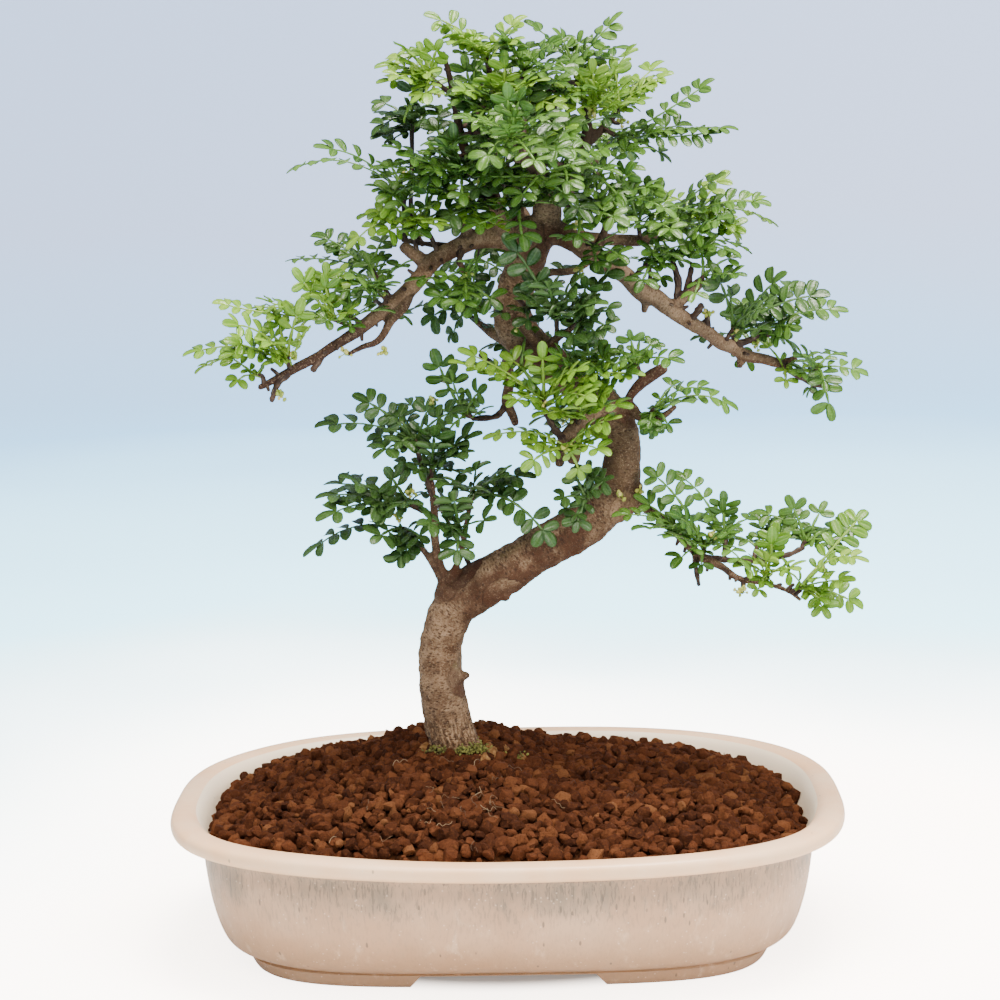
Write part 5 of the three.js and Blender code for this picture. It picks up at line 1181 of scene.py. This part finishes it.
def bark_material():
    """Tan bark with fine dark dashes, woven strands at the foot, rusty red-brown on the bend, painted
    shade on the undersides and in the forks, darker shoots
    """
    material, tree, shader = new_material("bark")
    place, grain = object_place(tree), grain_place(tree)
    size, under, base, _ = look_values(tree)
    rust_and_shade = rust_and_shade_share(tree, place, under)
    colour = bark_ground(tree, place, size, under, rust_and_shade)
    strand = pattern(tree, stretched(tree, grain, (1, 1, 0.3)), 1.15, 5, 0.6)
    strand_colour = colour_steps(tree, strand, [(0.38, (0.038, 0.015, 0.006)),
        (0.5, (0.165, 0.082, 0.038)), (0.60, (0.43, 0.260, 0.140))])
    colour = blend_colours(tree, between(tree, base, 0.1, 0.8, 0, 0.9), colour, strand_colour)
    mottle = pattern(tree, stretched(tree, grain, (1, 1, 2.0)), 1.5, 5, 0.7)
    colour = tint(tree, colour, BARK_DARK, between(tree, mottle, 0.51, 0.60, 0, 0.70),
        between(tree, size, 0.4, 0.8, 0.5, 1))
    colour = tint(tree, colour, (0.37, 0.235, 0.140), between(tree, mottle, 0.45, 0.36, 0, 0.5),
        one_minus(tree, times(tree, rust_and_shade, 0.75)))
    dots = spots(tree, stretched(tree, grain, (1, 1, 2.4)), 820.0, "Green", 0.5, 0.25,
        lambda number: between(tree, number, 0.50, 0.58))
    colour = tint(tree, colour, (0.060, 0.028, 0.014), dots, 0.6)
    pits = spots(tree, stretched(tree, grain, (1, 1, 2.1)), 470.0, "Red", 0.46, 0.22,
        lambda number: between(tree, number, 0.42, 0.52))
    pits = times(tree, pits, between(tree, size, 0.5, 0.8, 0.12, 1))
    colour = tint(tree, colour, (0.050, 0.024, 0.013), pits, 0.78)
    upper_bend = near(tree, place, (44, 0, 201), (15, 30, 20), 0.55, 1.15)
    colour = tint(tree, colour, (0.085, 0.046, 0.022), upper_bend, 0.5)
    flakes = pattern(tree, place, 0.7, 4, 0.7)
    colour = tint(tree, colour, (0.40, 0.270, 0.165), between(tree, flakes, 0.57, 0.68, 0, 0.75),
        one_minus(tree, times(tree, rust_and_shade, 0.62)))
    colour = tint(tree, colour, (0.042, 0.019, 0.009), between(tree, flakes, 0.43, 0.28, 0, 0.7))
    shoots = between(tree, height_mm(tree, place), 300, 320, 0, 0.85)
    colour = tint(tree, colour, (0.030, 0.017, 0.009), shoots)
    relief = bump(tree, mottle, -0.35, 0.8, bump(tree, strand, 0.6, 0.8))
    relief = bump(tree, one_minus(tree, pits), 0.3, 0.9, relief)
    relief = bump(tree, flakes, 0.3, 0.9, relief)
    connect(tree, shader, colour=colour, normal=relief, specular=0.22,
        roughness=between(tree, flakes, 0.3, 0.7, 0.72, 0.9))
    return material


def add_twig(shape, points, sides, source, rough):
    """Tube with a tone of its own, drawn at random"""
    tube(shape, points, sides, (source.random(), 0, 0, 0), source, rough)


def add_spurs(shape, points, source):
    """Short spurs that stand out round a limb"""
    path = limb_path(points, 6)
    ahead, across, beside = frames_along(path)
    for index in range(6, len(path) - 2, 4):
        turn = source.uniform(0, 2 * math.pi)
        out = across[index] * math.cos(turn) + beside[index] * math.sin(turn)
        out = unit(out + ahead[index] * source.uniform(0.1, 0.8))
        length = source.uniform(1.2, 3.2)
        start = path[index, :3] + out * path[index, 3] * 0.6
        end = path[index, :3] + out * (path[index, 3] + length)
        rows = np.array([[*start, 1.0], [*((start + end) / 2), 0.8], [*end, 0.65]])
        add_twig(shape, rows, 6, source, 0.15)


def make_twigs():
    """Thin twigs, the twig that carries each spray, and the spurs on the branches"""
    source = random.Random(SEED + 4)
    shape = Shape()
    for points in TWIGS:
        if not is_thick(points):
            path = limb_path(points, 4)
            path[:, 3] *= 1 + 0.14 * np.sin(np.arange(len(path)) * 2.1 + source.random() * 6)
            add_twig(shape, path, 8, source, 0.12)
    for root, bud, _, _ in SPRAYS.values():
        start, end = seen(*root), seen(*bud)
        middle = (start + end) / 2 + np.array([source.uniform(-0.5, 0.5) for _ in range(3)])
        rows = [[*start, 1.25], [*middle, 1.0], [*end, 1.1]]
        add_twig(shape, curve_through(rows, 4), 7, source, 0.12)
    for points in [*BRANCHES, *UPRIGHTS]:
        add_spurs(shape, points, source)
    make_piece("twigs", shape.mesh("twigs"), twig_material())


def twig_material():
    """Dark young bark with paler streaks along it"""
    material, tree, shader = new_material("twig_bark")
    colour = colour_steps(tree, pattern(tree, object_place(tree), 3, 4),
        [(0.35, (0.026, 0.012, 0.008)), (0.55, (0.058, 0.029, 0.018)), (0.7, (0.115, 0.066, 0.041))])
    streak = pattern(tree, stretched(tree, grain_place(tree), (1, 1, 0.25)), 0.7, 4)
    colour = tint(tree, colour, (0.27, 0.19, 0.13), between(tree, streak, 0.55, 0.72, 0, 0.45))
    relief = bump(tree, streak, 0.25, 0.8)
    connect(tree, shader, colour=colour, normal=relief, roughness=0.7, specular=0.3)
    return material


# Leaves: where a leaflet's five rows of points are along it, and how wide it is there
LEAFLET_PLACES = (0.07, 0.25, 0.5, 0.77, 0.945)
LEAFLET_WIDTHS = (0.36, 0.78, 1.0, 0.95, 0.60)
ACROSS = np.array([-1, -0.5, 0, 0.5, 1])
# A rib's cross section: sideways in half widths, up in mm
RIB_SECTION = ((-1, 0.0), (-0.35, 0.28), (0.35, 0.28), (1, 0.0), (0.35, -0.3), (-0.35, -0.3))
# Distance between a leaf's pairs of leaflets, in mm, and how grown its first pairs are
LEAF_PITCH = {"new": 5.2, "mid": 5.4, "dark": 6.0}
FIRST_PAIRS = (0.62, 0.82, 0.96)


def leaflet_faces():
    """Faces of a leaflet: base, tip, five rows of five on top, five middles underneath"""
    faces = []

    def top(row, column):
        return 2 + row * 5 + column

    def low(row):
        return 27 + row

    for column in range(4):
        faces.append((0, top(0, column + 1), top(0, column)))
        faces.append((1, top(4, column), top(4, column + 1)))
        for row in range(4):
            faces.append((top(row, column), top(row, column + 1), top(row + 1, column + 1),
                top(row + 1, column)))
    for edge, flip in ((0, False), (4, True)):
        rows = [(low(row), top(row, edge), top(row + 1, edge), low(row + 1)) for row in range(4)]
        ends = [(0, top(0, edge), low(0)), (1, low(4), top(4, edge))]
        faces += [face[::-1] if flip else face for face in rows + ends]
    return faces


LEAFLET_FACES = leaflet_faces()


def leaflet_points(length, width, cup, droop, skew):
    """Leaflet along +X with its upper side up: cupped round its midrib, drooping to its tip"""
    along = np.array(LEAFLET_PLACES)[:, None]
    half = np.array(LEAFLET_WIDTHS)[:, None] * width / 2
    x = np.repeat(along * length, 5, axis=1)
    y = half * ACROSS + skew * length * along * (1 - along)
    hollow = cup * half * np.abs(ACROSS) ** 1.4
    z = hollow - droop * length * along ** 2 + 0.04 * length * np.sin(np.pi * along)
    top = np.stack([x, y, z], axis=2)
    under = top[:, 2] - [0, 0, 0.3]
    ends = [[0, 0, 0], [length, 0, -droop * length]]
    return np.concatenate([ends, top.reshape(-1, 3), under])


def leaflet_look(tone, chance):
    """Red: distance from midrib; green: the leaf's tone; blue: chance; alpha: underside"""
    side = np.concatenate([[0, 0], np.tile(np.abs(ACROSS), 5), np.zeros(5)])
    under = np.concatenate([np.zeros(27), np.ones(5)])
    return np.stack([side, np.full(32, tone), np.full(32, chance), under], axis=1)


def rib_tube(shape, centres, alongs, normals, widths, look):
    """Flat winged rib of a compound leaf"""
    rows = []
    for centre, along, normal, width in zip(centres, alongs, normals, widths):
        across = np.cross(along, normal)
        rows += [centre + across * side * width + normal * rise for side, rise in RIB_SECTION]
    faces = [face[::-1] for face in strip_faces(len(centres), 6)]
    faces.append(tuple(range(6)))
    faces.append(tuple(range(len(rows) - 1, len(rows) - 7, -1)))
    shape.add(rows, faces, look)


def add_leaf(shape, bud, tip, bow, turn, ahead, tone, source, painted_shade_scale=1.0):
    """Compound leaf: a rib from the bud and pairs of leaflets with one at the end"""
    length = np.linalg.norm(tip - bud)
    middle = (bud + tip) / 2 + UP * 2 * bow + ahead * 0.12 * length
    facing = math.radians(turn + source.uniform(-12, 12))
    wanted = UP * math.cos(facing) + FORWARD * math.sin(facing)
    wanted = unit(wanted + np.array([source.uniform(-0.16, 0.16), 0, 0]))
    pitch = LEAF_PITCH[tone] * source.uniform(0.92, 1.08)
    end_length = min(pitch * 1.45, 0.34 * length)
    rib_share = 1 - end_length / length
    stalk = source.uniform(0.17, 0.26)
    pairs = int(np.clip(round((rib_share - stalk) * length / pitch) + 1, 2, 8))

    def rib(share):
        place = bud * (1 - share) ** 2 + middle * 2 * share * (1 - share) + tip * share ** 2
        along = unit((middle - bud) * (1 - share) + (tip - middle) * share)
        return place, along, upright_to(wanted, along)

    shares = np.linspace(stalk, rib_share, pairs)
    # A scale below 1 draws the leaf's tone darker, as painted shade
    leaf_tone = source.random() * painted_shade_scale
    stops = sorted({0.0, *shares, *((shares[1:] + shares[:-1]) / 2), stalk / 2})
    centres, alongs, normals = zip(*(rib(stop) for stop in stops))
    width = 0.85 if tone == "dark" else 0.75
    widths = [width * (1.1 - 0.6 * stop) * (0.7 if stop in shares else 1.15) for stop in stops]
    rib_tube(shape, centres, alongs, normals, widths, (0.0, leaf_tone, 0.5, 0.0))
    lift = source.uniform(-0.16, 0.24)
    for number, share in enumerate(shares):
        grown = FIRST_PAIRS[number] if number < len(FIRST_PAIRS) else 1.0
        if number == pairs - 1 and pairs > 3:
            grown = 0.92
        place, along, normal = rib(share)
        across = np.cross(along, normal)
        for side in (-1, 1):
            if source.random() < 0.025:
                continue
            slant = source.uniform(0.24, 0.52)
            out = unit(across * side + along * slant + normal * (lift + source.uniform(-0.14, 0.14)))
            face = upright_to(normal + along * source.uniform(-0.22, 0.22)
                + across * source.uniform(-0.22, 0.22) - across * side * lift * 0.6, out)
            size = pitch * 1.42 * grown * source.uniform(0.9, 1.08)
            size = min(size, 8.8, 0.40 * length)
            broad = size * source.uniform(0.50, 0.60) * (1.15 if tone == "dark" else 1)
            add_leaflet(shape, place + across * side * 0.3, out, face, size, broad, leaf_tone, source)
    place, along, normal = rib(rib_share)
    face = upright_to(normal + np.cross(along, normal) * source.uniform(-0.2, 0.2), along)
    size = end_length * source.uniform(0.95, 1.08)
    add_leaflet(shape, place, along, face, size, size * source.uniform(0.5, 0.62), leaf_tone, source)


def add_leaflet(shape, place, out, face, size, broad, tone, source):
    """Leaflet at a place, along out, its upper side towards face"""
    points = leaflet_points(size, broad, source.uniform(0.08, 0.42), source.uniform(0.0, 0.16),
        source.uniform(-0.08, 0.08))
    turned = points @ np.array([out, np.cross(face, out), face])
    shape.add(turned + place, LEAFLET_FACES, leaflet_look(tone, source.random()))


# For each tone of leaf: its deep, main and pale green
LEAF_TONES = {
    "new": [(0.096, 0.222, 0.016), (0.215, 0.410, 0.032), (0.39, 0.55, 0.085)],
    "mid": [(0.040, 0.106, 0.014), (0.100, 0.218, 0.027), (0.210, 0.39, 0.064)],
    "dark": [(0.030, 0.072, 0.015), (0.062, 0.134, 0.026), (0.125, 0.232, 0.056)],
}


def leaf_material(tone):
    """Glossy upper side with a paler midrib, and a duller, paler underside; light comes through"""
    deep, main, pale = LEAF_TONES[tone]
    material, tree, shader = new_material("leaf_" + tone)
    place = object_place(tree)
    side, leaf, chance, under = look_values(tree)
    value = math_node(tree, "MULTIPLY_ADD", leaf, 0.6, times(tree, chance, 0.4))
    light = tuple((a + b) / 2 for a, b in zip(main, pale))
    colour = colour_steps(tree, value, [(0.05, deep), (0.5, main), (0.95, light)])
    cloud = between(tree, pattern(tree, place, 2.4, 3), 0.35, 0.65, 0.0, 0.35)
    colour = tint(tree, colour, deep, cloud)
    colour = tint(tree, colour, pale, between(tree, side, 0.16, 0.02, 0, 0.5))
    colour = tint(tree, colour, pale, between(tree, side, 0.9, 1.0, 0, 0.25))
    colour = tint(tree, colour, pale, under, 0.45)
    sheen = math_node(tree, "ADD", between(tree, under, 0.3, 0.7, 0.22, 0.55),
        between(tree, pattern(tree, place, 1.2, 2), 0.3, 0.7, 0, 0.1))
    relief = bump(tree, pattern(tree, place, 1.4, 3), 0.26, 0.8)
    connect(tree, shader, colour=colour, roughness=sheen, normal=relief, specular=0.46)
    through = node(tree, "BsdfTranslucent", {"Color": tint(tree, colour, pale, 0.55)})
    mixed = node(tree, "MixShader", {0: 0.28, 1: shader.outputs[0], 2: through.outputs[0]})
    tree.links.new(mixed.outputs[0], tree.nodes["Material Output"].inputs["Surface"])
    return material


def make_leaves():
    """The sprays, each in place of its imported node; returns the leaf materials by tone"""
    materials = {tone: leaf_material(tone) for tone in LEAF_TONES}
    for number, (name, (root, bud, tone, leaves)) in enumerate(SPRAYS.items()):
        source = random.Random(SEED + 100 + number)
        shape = Shape()
        start = seen(*bud)
        ahead = unit(start - seen(*root))
        for x, z, y, bow, turn in leaves:
            add_leaf(shape, start, seen(x, z, y), bow, turn, ahead, tone, source)
        add_companions(shape, start, leaves, ahead, tone, source)
        add_bud(shape, start, ahead, source)
        mesh = held_inside(shape).mesh("foliage_" + name)
        make_piece("foliage_" + name, mesh, materials[tone], ["leaves_" + name])
    return materials


def add_companions(shape, start, leaves, ahead, tone, source):
    """Younger leaves between a spray's listed ones, some nearer to the front and some behind, drawn
    darker as painted shade
    """
    density, facing = (1.9, 36) if start[2] > 300 else (1.2, 60)
    for _ in range(round(len(leaves) * density)):
        first, second = (seen(*source.choice(leaves)[:3]) - start for _ in range(2))
        share = source.uniform(0, 0.5)
        reach = source.uniform(0.5, 0.95) * np.linalg.norm(first)
        out = unit(first) * (1 - share) + unit(second) * share
        out += np.array([source.gauss(0, 0.16), source.gauss(0, 0.45), source.gauss(0.04, 0.16)])
        bud = start - ahead * source.uniform(0, 3.5)
        tip = bud + unit(out) * max(reach, 13)
        bow, turn = source.uniform(-1, 3), source.uniform(0, facing)
        add_leaf(shape, bud, tip, bow, turn, ahead, tone, source, 0.8)


def nearest_wood(place):
    """Nearest point on the middle lines of the trunk and the thick limbs"""
    limbs = [TRUNK, *BRANCHES, *UPRIGHTS]
    path = np.concatenate([limb_path(points, 4)[:, :3] for points in limbs])
    return path[np.argmin(np.linalg.norm(path - place, axis=1))]


def make_filling(materials):
    """Leaves on short twigs inside the crown and along the branches, between the main sprays"""
    source = random.Random(SEED + 8)
    shapes = {tone: Shape() for tone in LEAF_TONES}
    twigs = Shape()
    for x, z, y, tone, count, reach in FILLING:
        bud = seen(x, z, y)
        wood = nearest_wood(bud)
        middle = (bud + wood) / 2 + np.array([source.uniform(-1, 1), source.uniform(-1, 1), 1.5])
        rows = [[*wood, 1.2], [*middle, 0.95], [*bud, 0.9]]
        add_twig(twigs, curve_through(rows, 4), 6, source, 0.1)
        ahead = unit(unit(bud - wood) + 0.35 * unit(bud - CROWN_MIDDLE))
        start = source.uniform(0, 2 * math.pi)
        for number in range(count):
            turn = start + number * 2.4
            side = np.array([math.cos(turn), 0.7 * math.sin(turn), math.sin(turn) * 0.75 + 0.12])
            way = unit(ahead * source.uniform(0.15, 0.6) + side)
            length = reach * source.uniform(0.75, 1.1)
            foot = bud - ahead * source.uniform(0, 2.5)
            bow, facing = source.uniform(0, 3), source.uniform(0, 42)
            tip = foot + way * length
            # Drawn a little darker, as painted shade inside the crown
            add_leaf(shapes[tone], foot, tip, bow, facing, ahead, tone, source, 0.9)
        add_bud(shapes[tone], bud, ahead, source)
    for tone, shape in shapes.items():
        name = "inner_leaves_" + tone
        make_piece(name, held_inside(shape).mesh(name), materials[tone])
    make_piece("inner_twigs", twigs.mesh("inner_twigs"), twig_material())


def held_inside(shape):
    """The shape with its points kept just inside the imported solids' box"""
    low = (np.array(cad_low) - POT_MIDDLE) / MM + 0.1
    high = (np.array(cad_high) - POT_MIDDLE) / MM - 0.1
    shape.points = [np.clip(points, low, high) for points in shape.points]
    return shape


def add_bud(shape, start, ahead, source):
    """Knot of folded young leaflets where a spray's leaves meet"""
    for _ in range(7):
        out = unit(ahead * 0.9 + random_vector(source, 0.6))
        face = upright_to(ahead + random_vector(source, 0.5), out)
        size = source.uniform(2.2, 3.6)
        points = leaflet_points(size, size * 0.5, 0.9, -0.1, 0)
        turned = points @ np.array([out, np.cross(face, out), face])
        shape.add(turned + start - ahead * 0.6, LEAFLET_FACES, leaflet_look(0.9, source.random()))


def make_flowers():
    """Clusters of tiny buds on short stalks"""
    source = random.Random(SEED + 5)
    shape = Shape()
    points, faces = SMALL_BALL
    for x, z, y in FLOWERS:
        centre = seen(x, z, y)
        for _ in range(11):
            out = unit(np.array([source.gauss(0, 1), source.gauss(0, 1), source.gauss(0.6, 1)]))
            size = source.uniform(0.55, 0.95)
            place = centre + out * source.uniform(0.8, 3.0)
            oval_ball = points * [size, size, size * 1.35]
            shape.add(oval_ball @ random_turn(source).T + place, faces, (source.random(), 0, 0, 0))
            stalk = np.array([[*centre, 0.22], [*place, 0.22]])
            tube(shape, stalk, 4, (0.3, 0, 0, 0), source, 0)
    make_piece("flower_buds", shape.mesh("flower_buds"), flower_material())


def flower_material():
    """Each bud has its own tone, from green to yellow"""
    material, tree, shader = new_material("flower_bud")
    colour = colour_steps(tree, look_values(tree)[0], [(0.0, (0.20, 0.30, 0.035)),
        (0.5, (0.42, 0.44, 0.07)), (1.0, (0.62, 0.52, 0.14))])
    relief = bump(tree, pattern(tree, object_place(tree), 0.5, 3), 0.12, 0.7)
    connect(tree, shader, colour=colour, normal=relief, roughness=0.5)
    return material


# Moss and root fibres
def make_moss():
    """Cushions of tiny tufts"""
    source = random.Random(SEED + 6)
    shape = Shape()
    points, faces = SMALL_BALL
    for x, y, spread, count, shade in MOSS:
        for _ in range(count):
            place = np.array([source.gauss(x, spread), source.gauss(y, spread * 0.6), 0.0])
            place[2] = mound(place) + 0.2 + abs(source.gauss(0, 1.5))
            size = source.uniform(0.25, 0.6)
            ball = points * size * [1, 1, source.uniform(0.8, 1.8)]
            shape.add(ball @ random_turn(source).T + place, faces,
                (shade * 0.5 + 0.5 * source.random(), 0, 0, 0))
    make_piece("moss", shape.mesh("moss"), moss_material())


def moss_material():
    """Brown to bright green in patches"""
    material, tree, shader = new_material("moss")
    place = object_place(tree)
    patches = times(tree, pattern(tree, place, 3, 3), 0.5)
    value = math_node(tree, "MULTIPLY_ADD", look_values(tree)[0], 0.5, patches)
    colour = colour_steps(tree, value, [(0.2, (0.052, 0.038, 0.012)), (0.5, (0.135, 0.130, 0.026)),
        (0.8, (0.28, 0.265, 0.052))])
    relief = bump(tree, pattern(tree, place, 0.4, 3), 0.2, 0.8)
    connect(tree, shader, colour=colour, normal=relief, roughness=0.95)
    return material


def make_roots():
    """Fine dry root fibres: two tangles on the soil and a few strays"""
    source = random.Random(SEED + 7)
    shape = Shape()
    places = [tangle[:3] for tangle in TANGLES for _ in range(tangle[3])]
    places += [(source.uniform(-70, 60), source.uniform(-84, -20), 1) for _ in range(STRAY_ROOTS)]
    for x, y, spread in places:
        x, y = source.gauss(x, spread), source.gauss(y, spread)
        turn = source.uniform(0, 2 * math.pi)
        rows = []
        for step in range(7):
            place = np.array([x, y, 0.0])
            place[2] = mound(place) + 2.2 + source.uniform(-0.3, 2.2) * (0.4 + 0.3 * (step % 3))
            rows.append([*place, 0.125 - 0.009 * step])
            turn += source.uniform(-0.9, 0.9)
            x += 1.25 * math.cos(turn)
            y += 1.25 * math.sin(turn)
        add_twig(shape, curve_through(rows, 3), 5, source, 0)
    make_piece("root_fibres", shape.mesh("root_fibres"), fibre_material())


def fibre_material():
    """Each fibre has its own tone, from dark brown to straw"""
    material, tree, shader = new_material("root_fibre")
    colour = colour_steps(tree, look_values(tree)[0], [(0.0, (0.045, 0.020, 0.009)),
        (0.5, (0.16, 0.090, 0.043)), (1.0, (0.33, 0.225, 0.125))])
    relief = bump(tree, pattern(tree, object_place(tree), 0.4, 3), 0.05, 0.7)
    connect(tree, shader, colour=colour, normal=relief, roughness=0.8)
    return material


# Drainage
def dress_drainage():
    """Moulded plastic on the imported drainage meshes, which keep their solids"""
    material, tree, shader = new_material("drainage_plastic")
    place = object_place(tree)
    colour = colour_steps(tree, pattern(tree, place, 2, 3), [(0.3, (0.018, 0.018, 0.017)),
        (0.7, (0.040, 0.040, 0.037))])
    relief = bump(tree, pattern(tree, place, 0.5, 3), 0.05, 0.6)
    connect(tree, shader, colour=colour, normal=relief, roughness=0.55)
    for name in ("drainage_mesh_left", "drainage_mesh_right"):
        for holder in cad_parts[name].material_slots:
            holder.material = material


# Floor, light and camera
def make_stage():
    """Round pale sweep: a floor that curves up into a wall all round, in metres"""
    floor, bend, top, count = 2.0, 0.9, 3.4, 96
    profile = [(0.02, 0.0), (0.5, 0.0), (1.0, 0.0), (floor, 0.0)]
    for step in range(1, 13):
        turn = math.radians(7.5 * step)
        profile.append((floor + bend * math.sin(turn), bend * (1 - math.cos(turn))))
    profile.append((floor + bend, top))
    turns = np.arange(count) * 2 * np.pi / count
    points = [(r * math.cos(t), r * math.sin(t), z) for r, z in profile for t in turns]
    faces = strip_faces(len(profile), count) + [tuple(range(count - 1, -1, -1))]
    mesh = bpy.data.meshes.new("sweep")
    mesh.from_pydata(points, [], [face[::-1] for face in faces])
    mesh.polygons.foreach_set("use_smooth", [True] * len(faces))
    mesh.materials.append(sweep_material())
    link("sweep", mesh)


def sweep_material():
    """White floor that turns pale blue and then grey-blue as it rises; it glows only to the
    camera, so that it is bright without lighting the plant"""
    material, tree, shader = new_material("pale_paper")
    place = object_place(tree)
    flat = stretched(tree, place, (1, 1, 0))
    parts = node(tree, "SeparateXYZ", {0: place}).outputs
    far = math_node(tree, "MULTIPLY_ADD", parts["Z"], 1.6, vector_length(tree, flat))
    shift = between(tree, pattern(tree, place, 700, 2), 0.3, 0.7, -0.12, 0.12)
    far = math_node(tree, "ADD", far, shift)
    colour = colour_steps(tree, times(tree, far, 0.25), [(0.05, (1.0, 0.90, 0.82)),
        (0.10, (0.81, 0.89, 0.90)), (0.17, (0.32, 0.78, 0.99)), (0.42, (0.130, 0.38, 0.65)),
        (0.72, (0.215, 0.29, 0.46))])
    sides = blend_colours(tree, between(tree, parts["X"], -0.9, 0.9),
        (0.86, 0.91, 0.92, 1), (1.14, 1.08, 1.05, 1))
    colour = blend_colours(tree, 1.0, colour, sides, "MULTIPLY")
    # No glow under the pot, as a painted contact shadow, and a little more on the open floor round it
    footprint = stretched(tree, from_middle(tree, flat), (1 / 0.107, 1 / 0.071, 0))
    out = vector_length(tree, footprint)
    floor_glow_and_painted_shadow = times(tree, between(tree, out, 0.90, 1.12, 0.04, 0.72),
        between(tree, out, 1.0, 1.9, 1.0, 1.39))
    strength = times(tree, between(tree, far, 0.2, 0.62, 8.0, 3.4), floor_glow_and_painted_shadow)
    glow = times(tree, node(tree, "LightPath").outputs["Is Camera Ray"], strength)
    connect(tree, shader, colour=tint(tree, colour, (0.85, 0.85, 0.83), 0.35), roughness=0.9,
        glow_colour=colour, glow=glow)
    return material


def add_light(name, place, size, power, colour):
    """Round area light turned to the middle of the plant; place and size in metres"""
    data = bpy.data.lights.new(name, "AREA")
    data.shape = "DISK"
    data.size = size
    data.energy = power
    data.color = colour
    lamp = link(name, data)
    lamp.location = place
    lamp.rotation_mode = "QUATERNION"
    lamp.rotation_quaternion = (Vector((0, 0, 0.18)) - Vector(place)).to_track_quat("-Z", "Y")


def make_light():
    """Even room light with a soft key, top and fill"""
    world = bpy.data.worlds.new("soft_room")
    bpy.context.scene.world = world
    world.use_nodes = True
    background = world.node_tree.nodes["Background"]
    background.inputs["Color"].default_value = (0.96, 0.96, 0.94, 1)
    background.inputs["Strength"].default_value = 0.66
    add_light("key", (-0.35, -1.3, 1.5), 0.8, 31, (1.0, 0.94, 0.85))
    add_light("top", (0.25, -0.1, 1.9), 0.9, 86, (1.0, 0.965, 0.91))
    add_light("fill", (1.2, -1.1, 0.9), 1.0, 24, (1.0, 0.955, 0.90))


def make_camera():
    """The camera from its place, its three turns and its focal length"""
    yaw, pitch, roll = (math.radians(turn) for turn in (CAMERA_YAW, CAMERA_PITCH, CAMERA_ROLL))
    ahead = np.array([-math.sin(yaw) * math.cos(pitch), math.cos(yaw) * math.cos(pitch),
        -math.sin(pitch)])
    level = np.array([math.cos(yaw), math.sin(yaw), 0])
    upright = np.cross(level, ahead)
    right = math.cos(roll) * level + math.sin(roll) * upright
    top = -math.sin(roll) * level + math.cos(roll) * upright
    data = bpy.data.cameras.new("camera")
    data.sensor_width = SENSOR
    data.lens = FOCAL_PIXELS / IMAGE_PIXELS * SENSOR
    data.clip_start, data.clip_end = 0.05, 20
    camera = link("camera", data)
    turned = Matrix(np.stack([right, top, -ahead], axis=1).tolist()).to_4x4()
    camera.matrix_world = Matrix.Translation(EYE * MM + POT_MIDDLE) @ turned
    bpy.context.scene.camera = camera


make_camera()
make_stage()
make_light()
make_pot()
make_soil()
make_granules()
make_wood()
make_twigs()
leaf_materials = make_leaves()
make_filling(leaf_materials)
make_flowers()
make_moss()
make_roots()
dress_drainage()
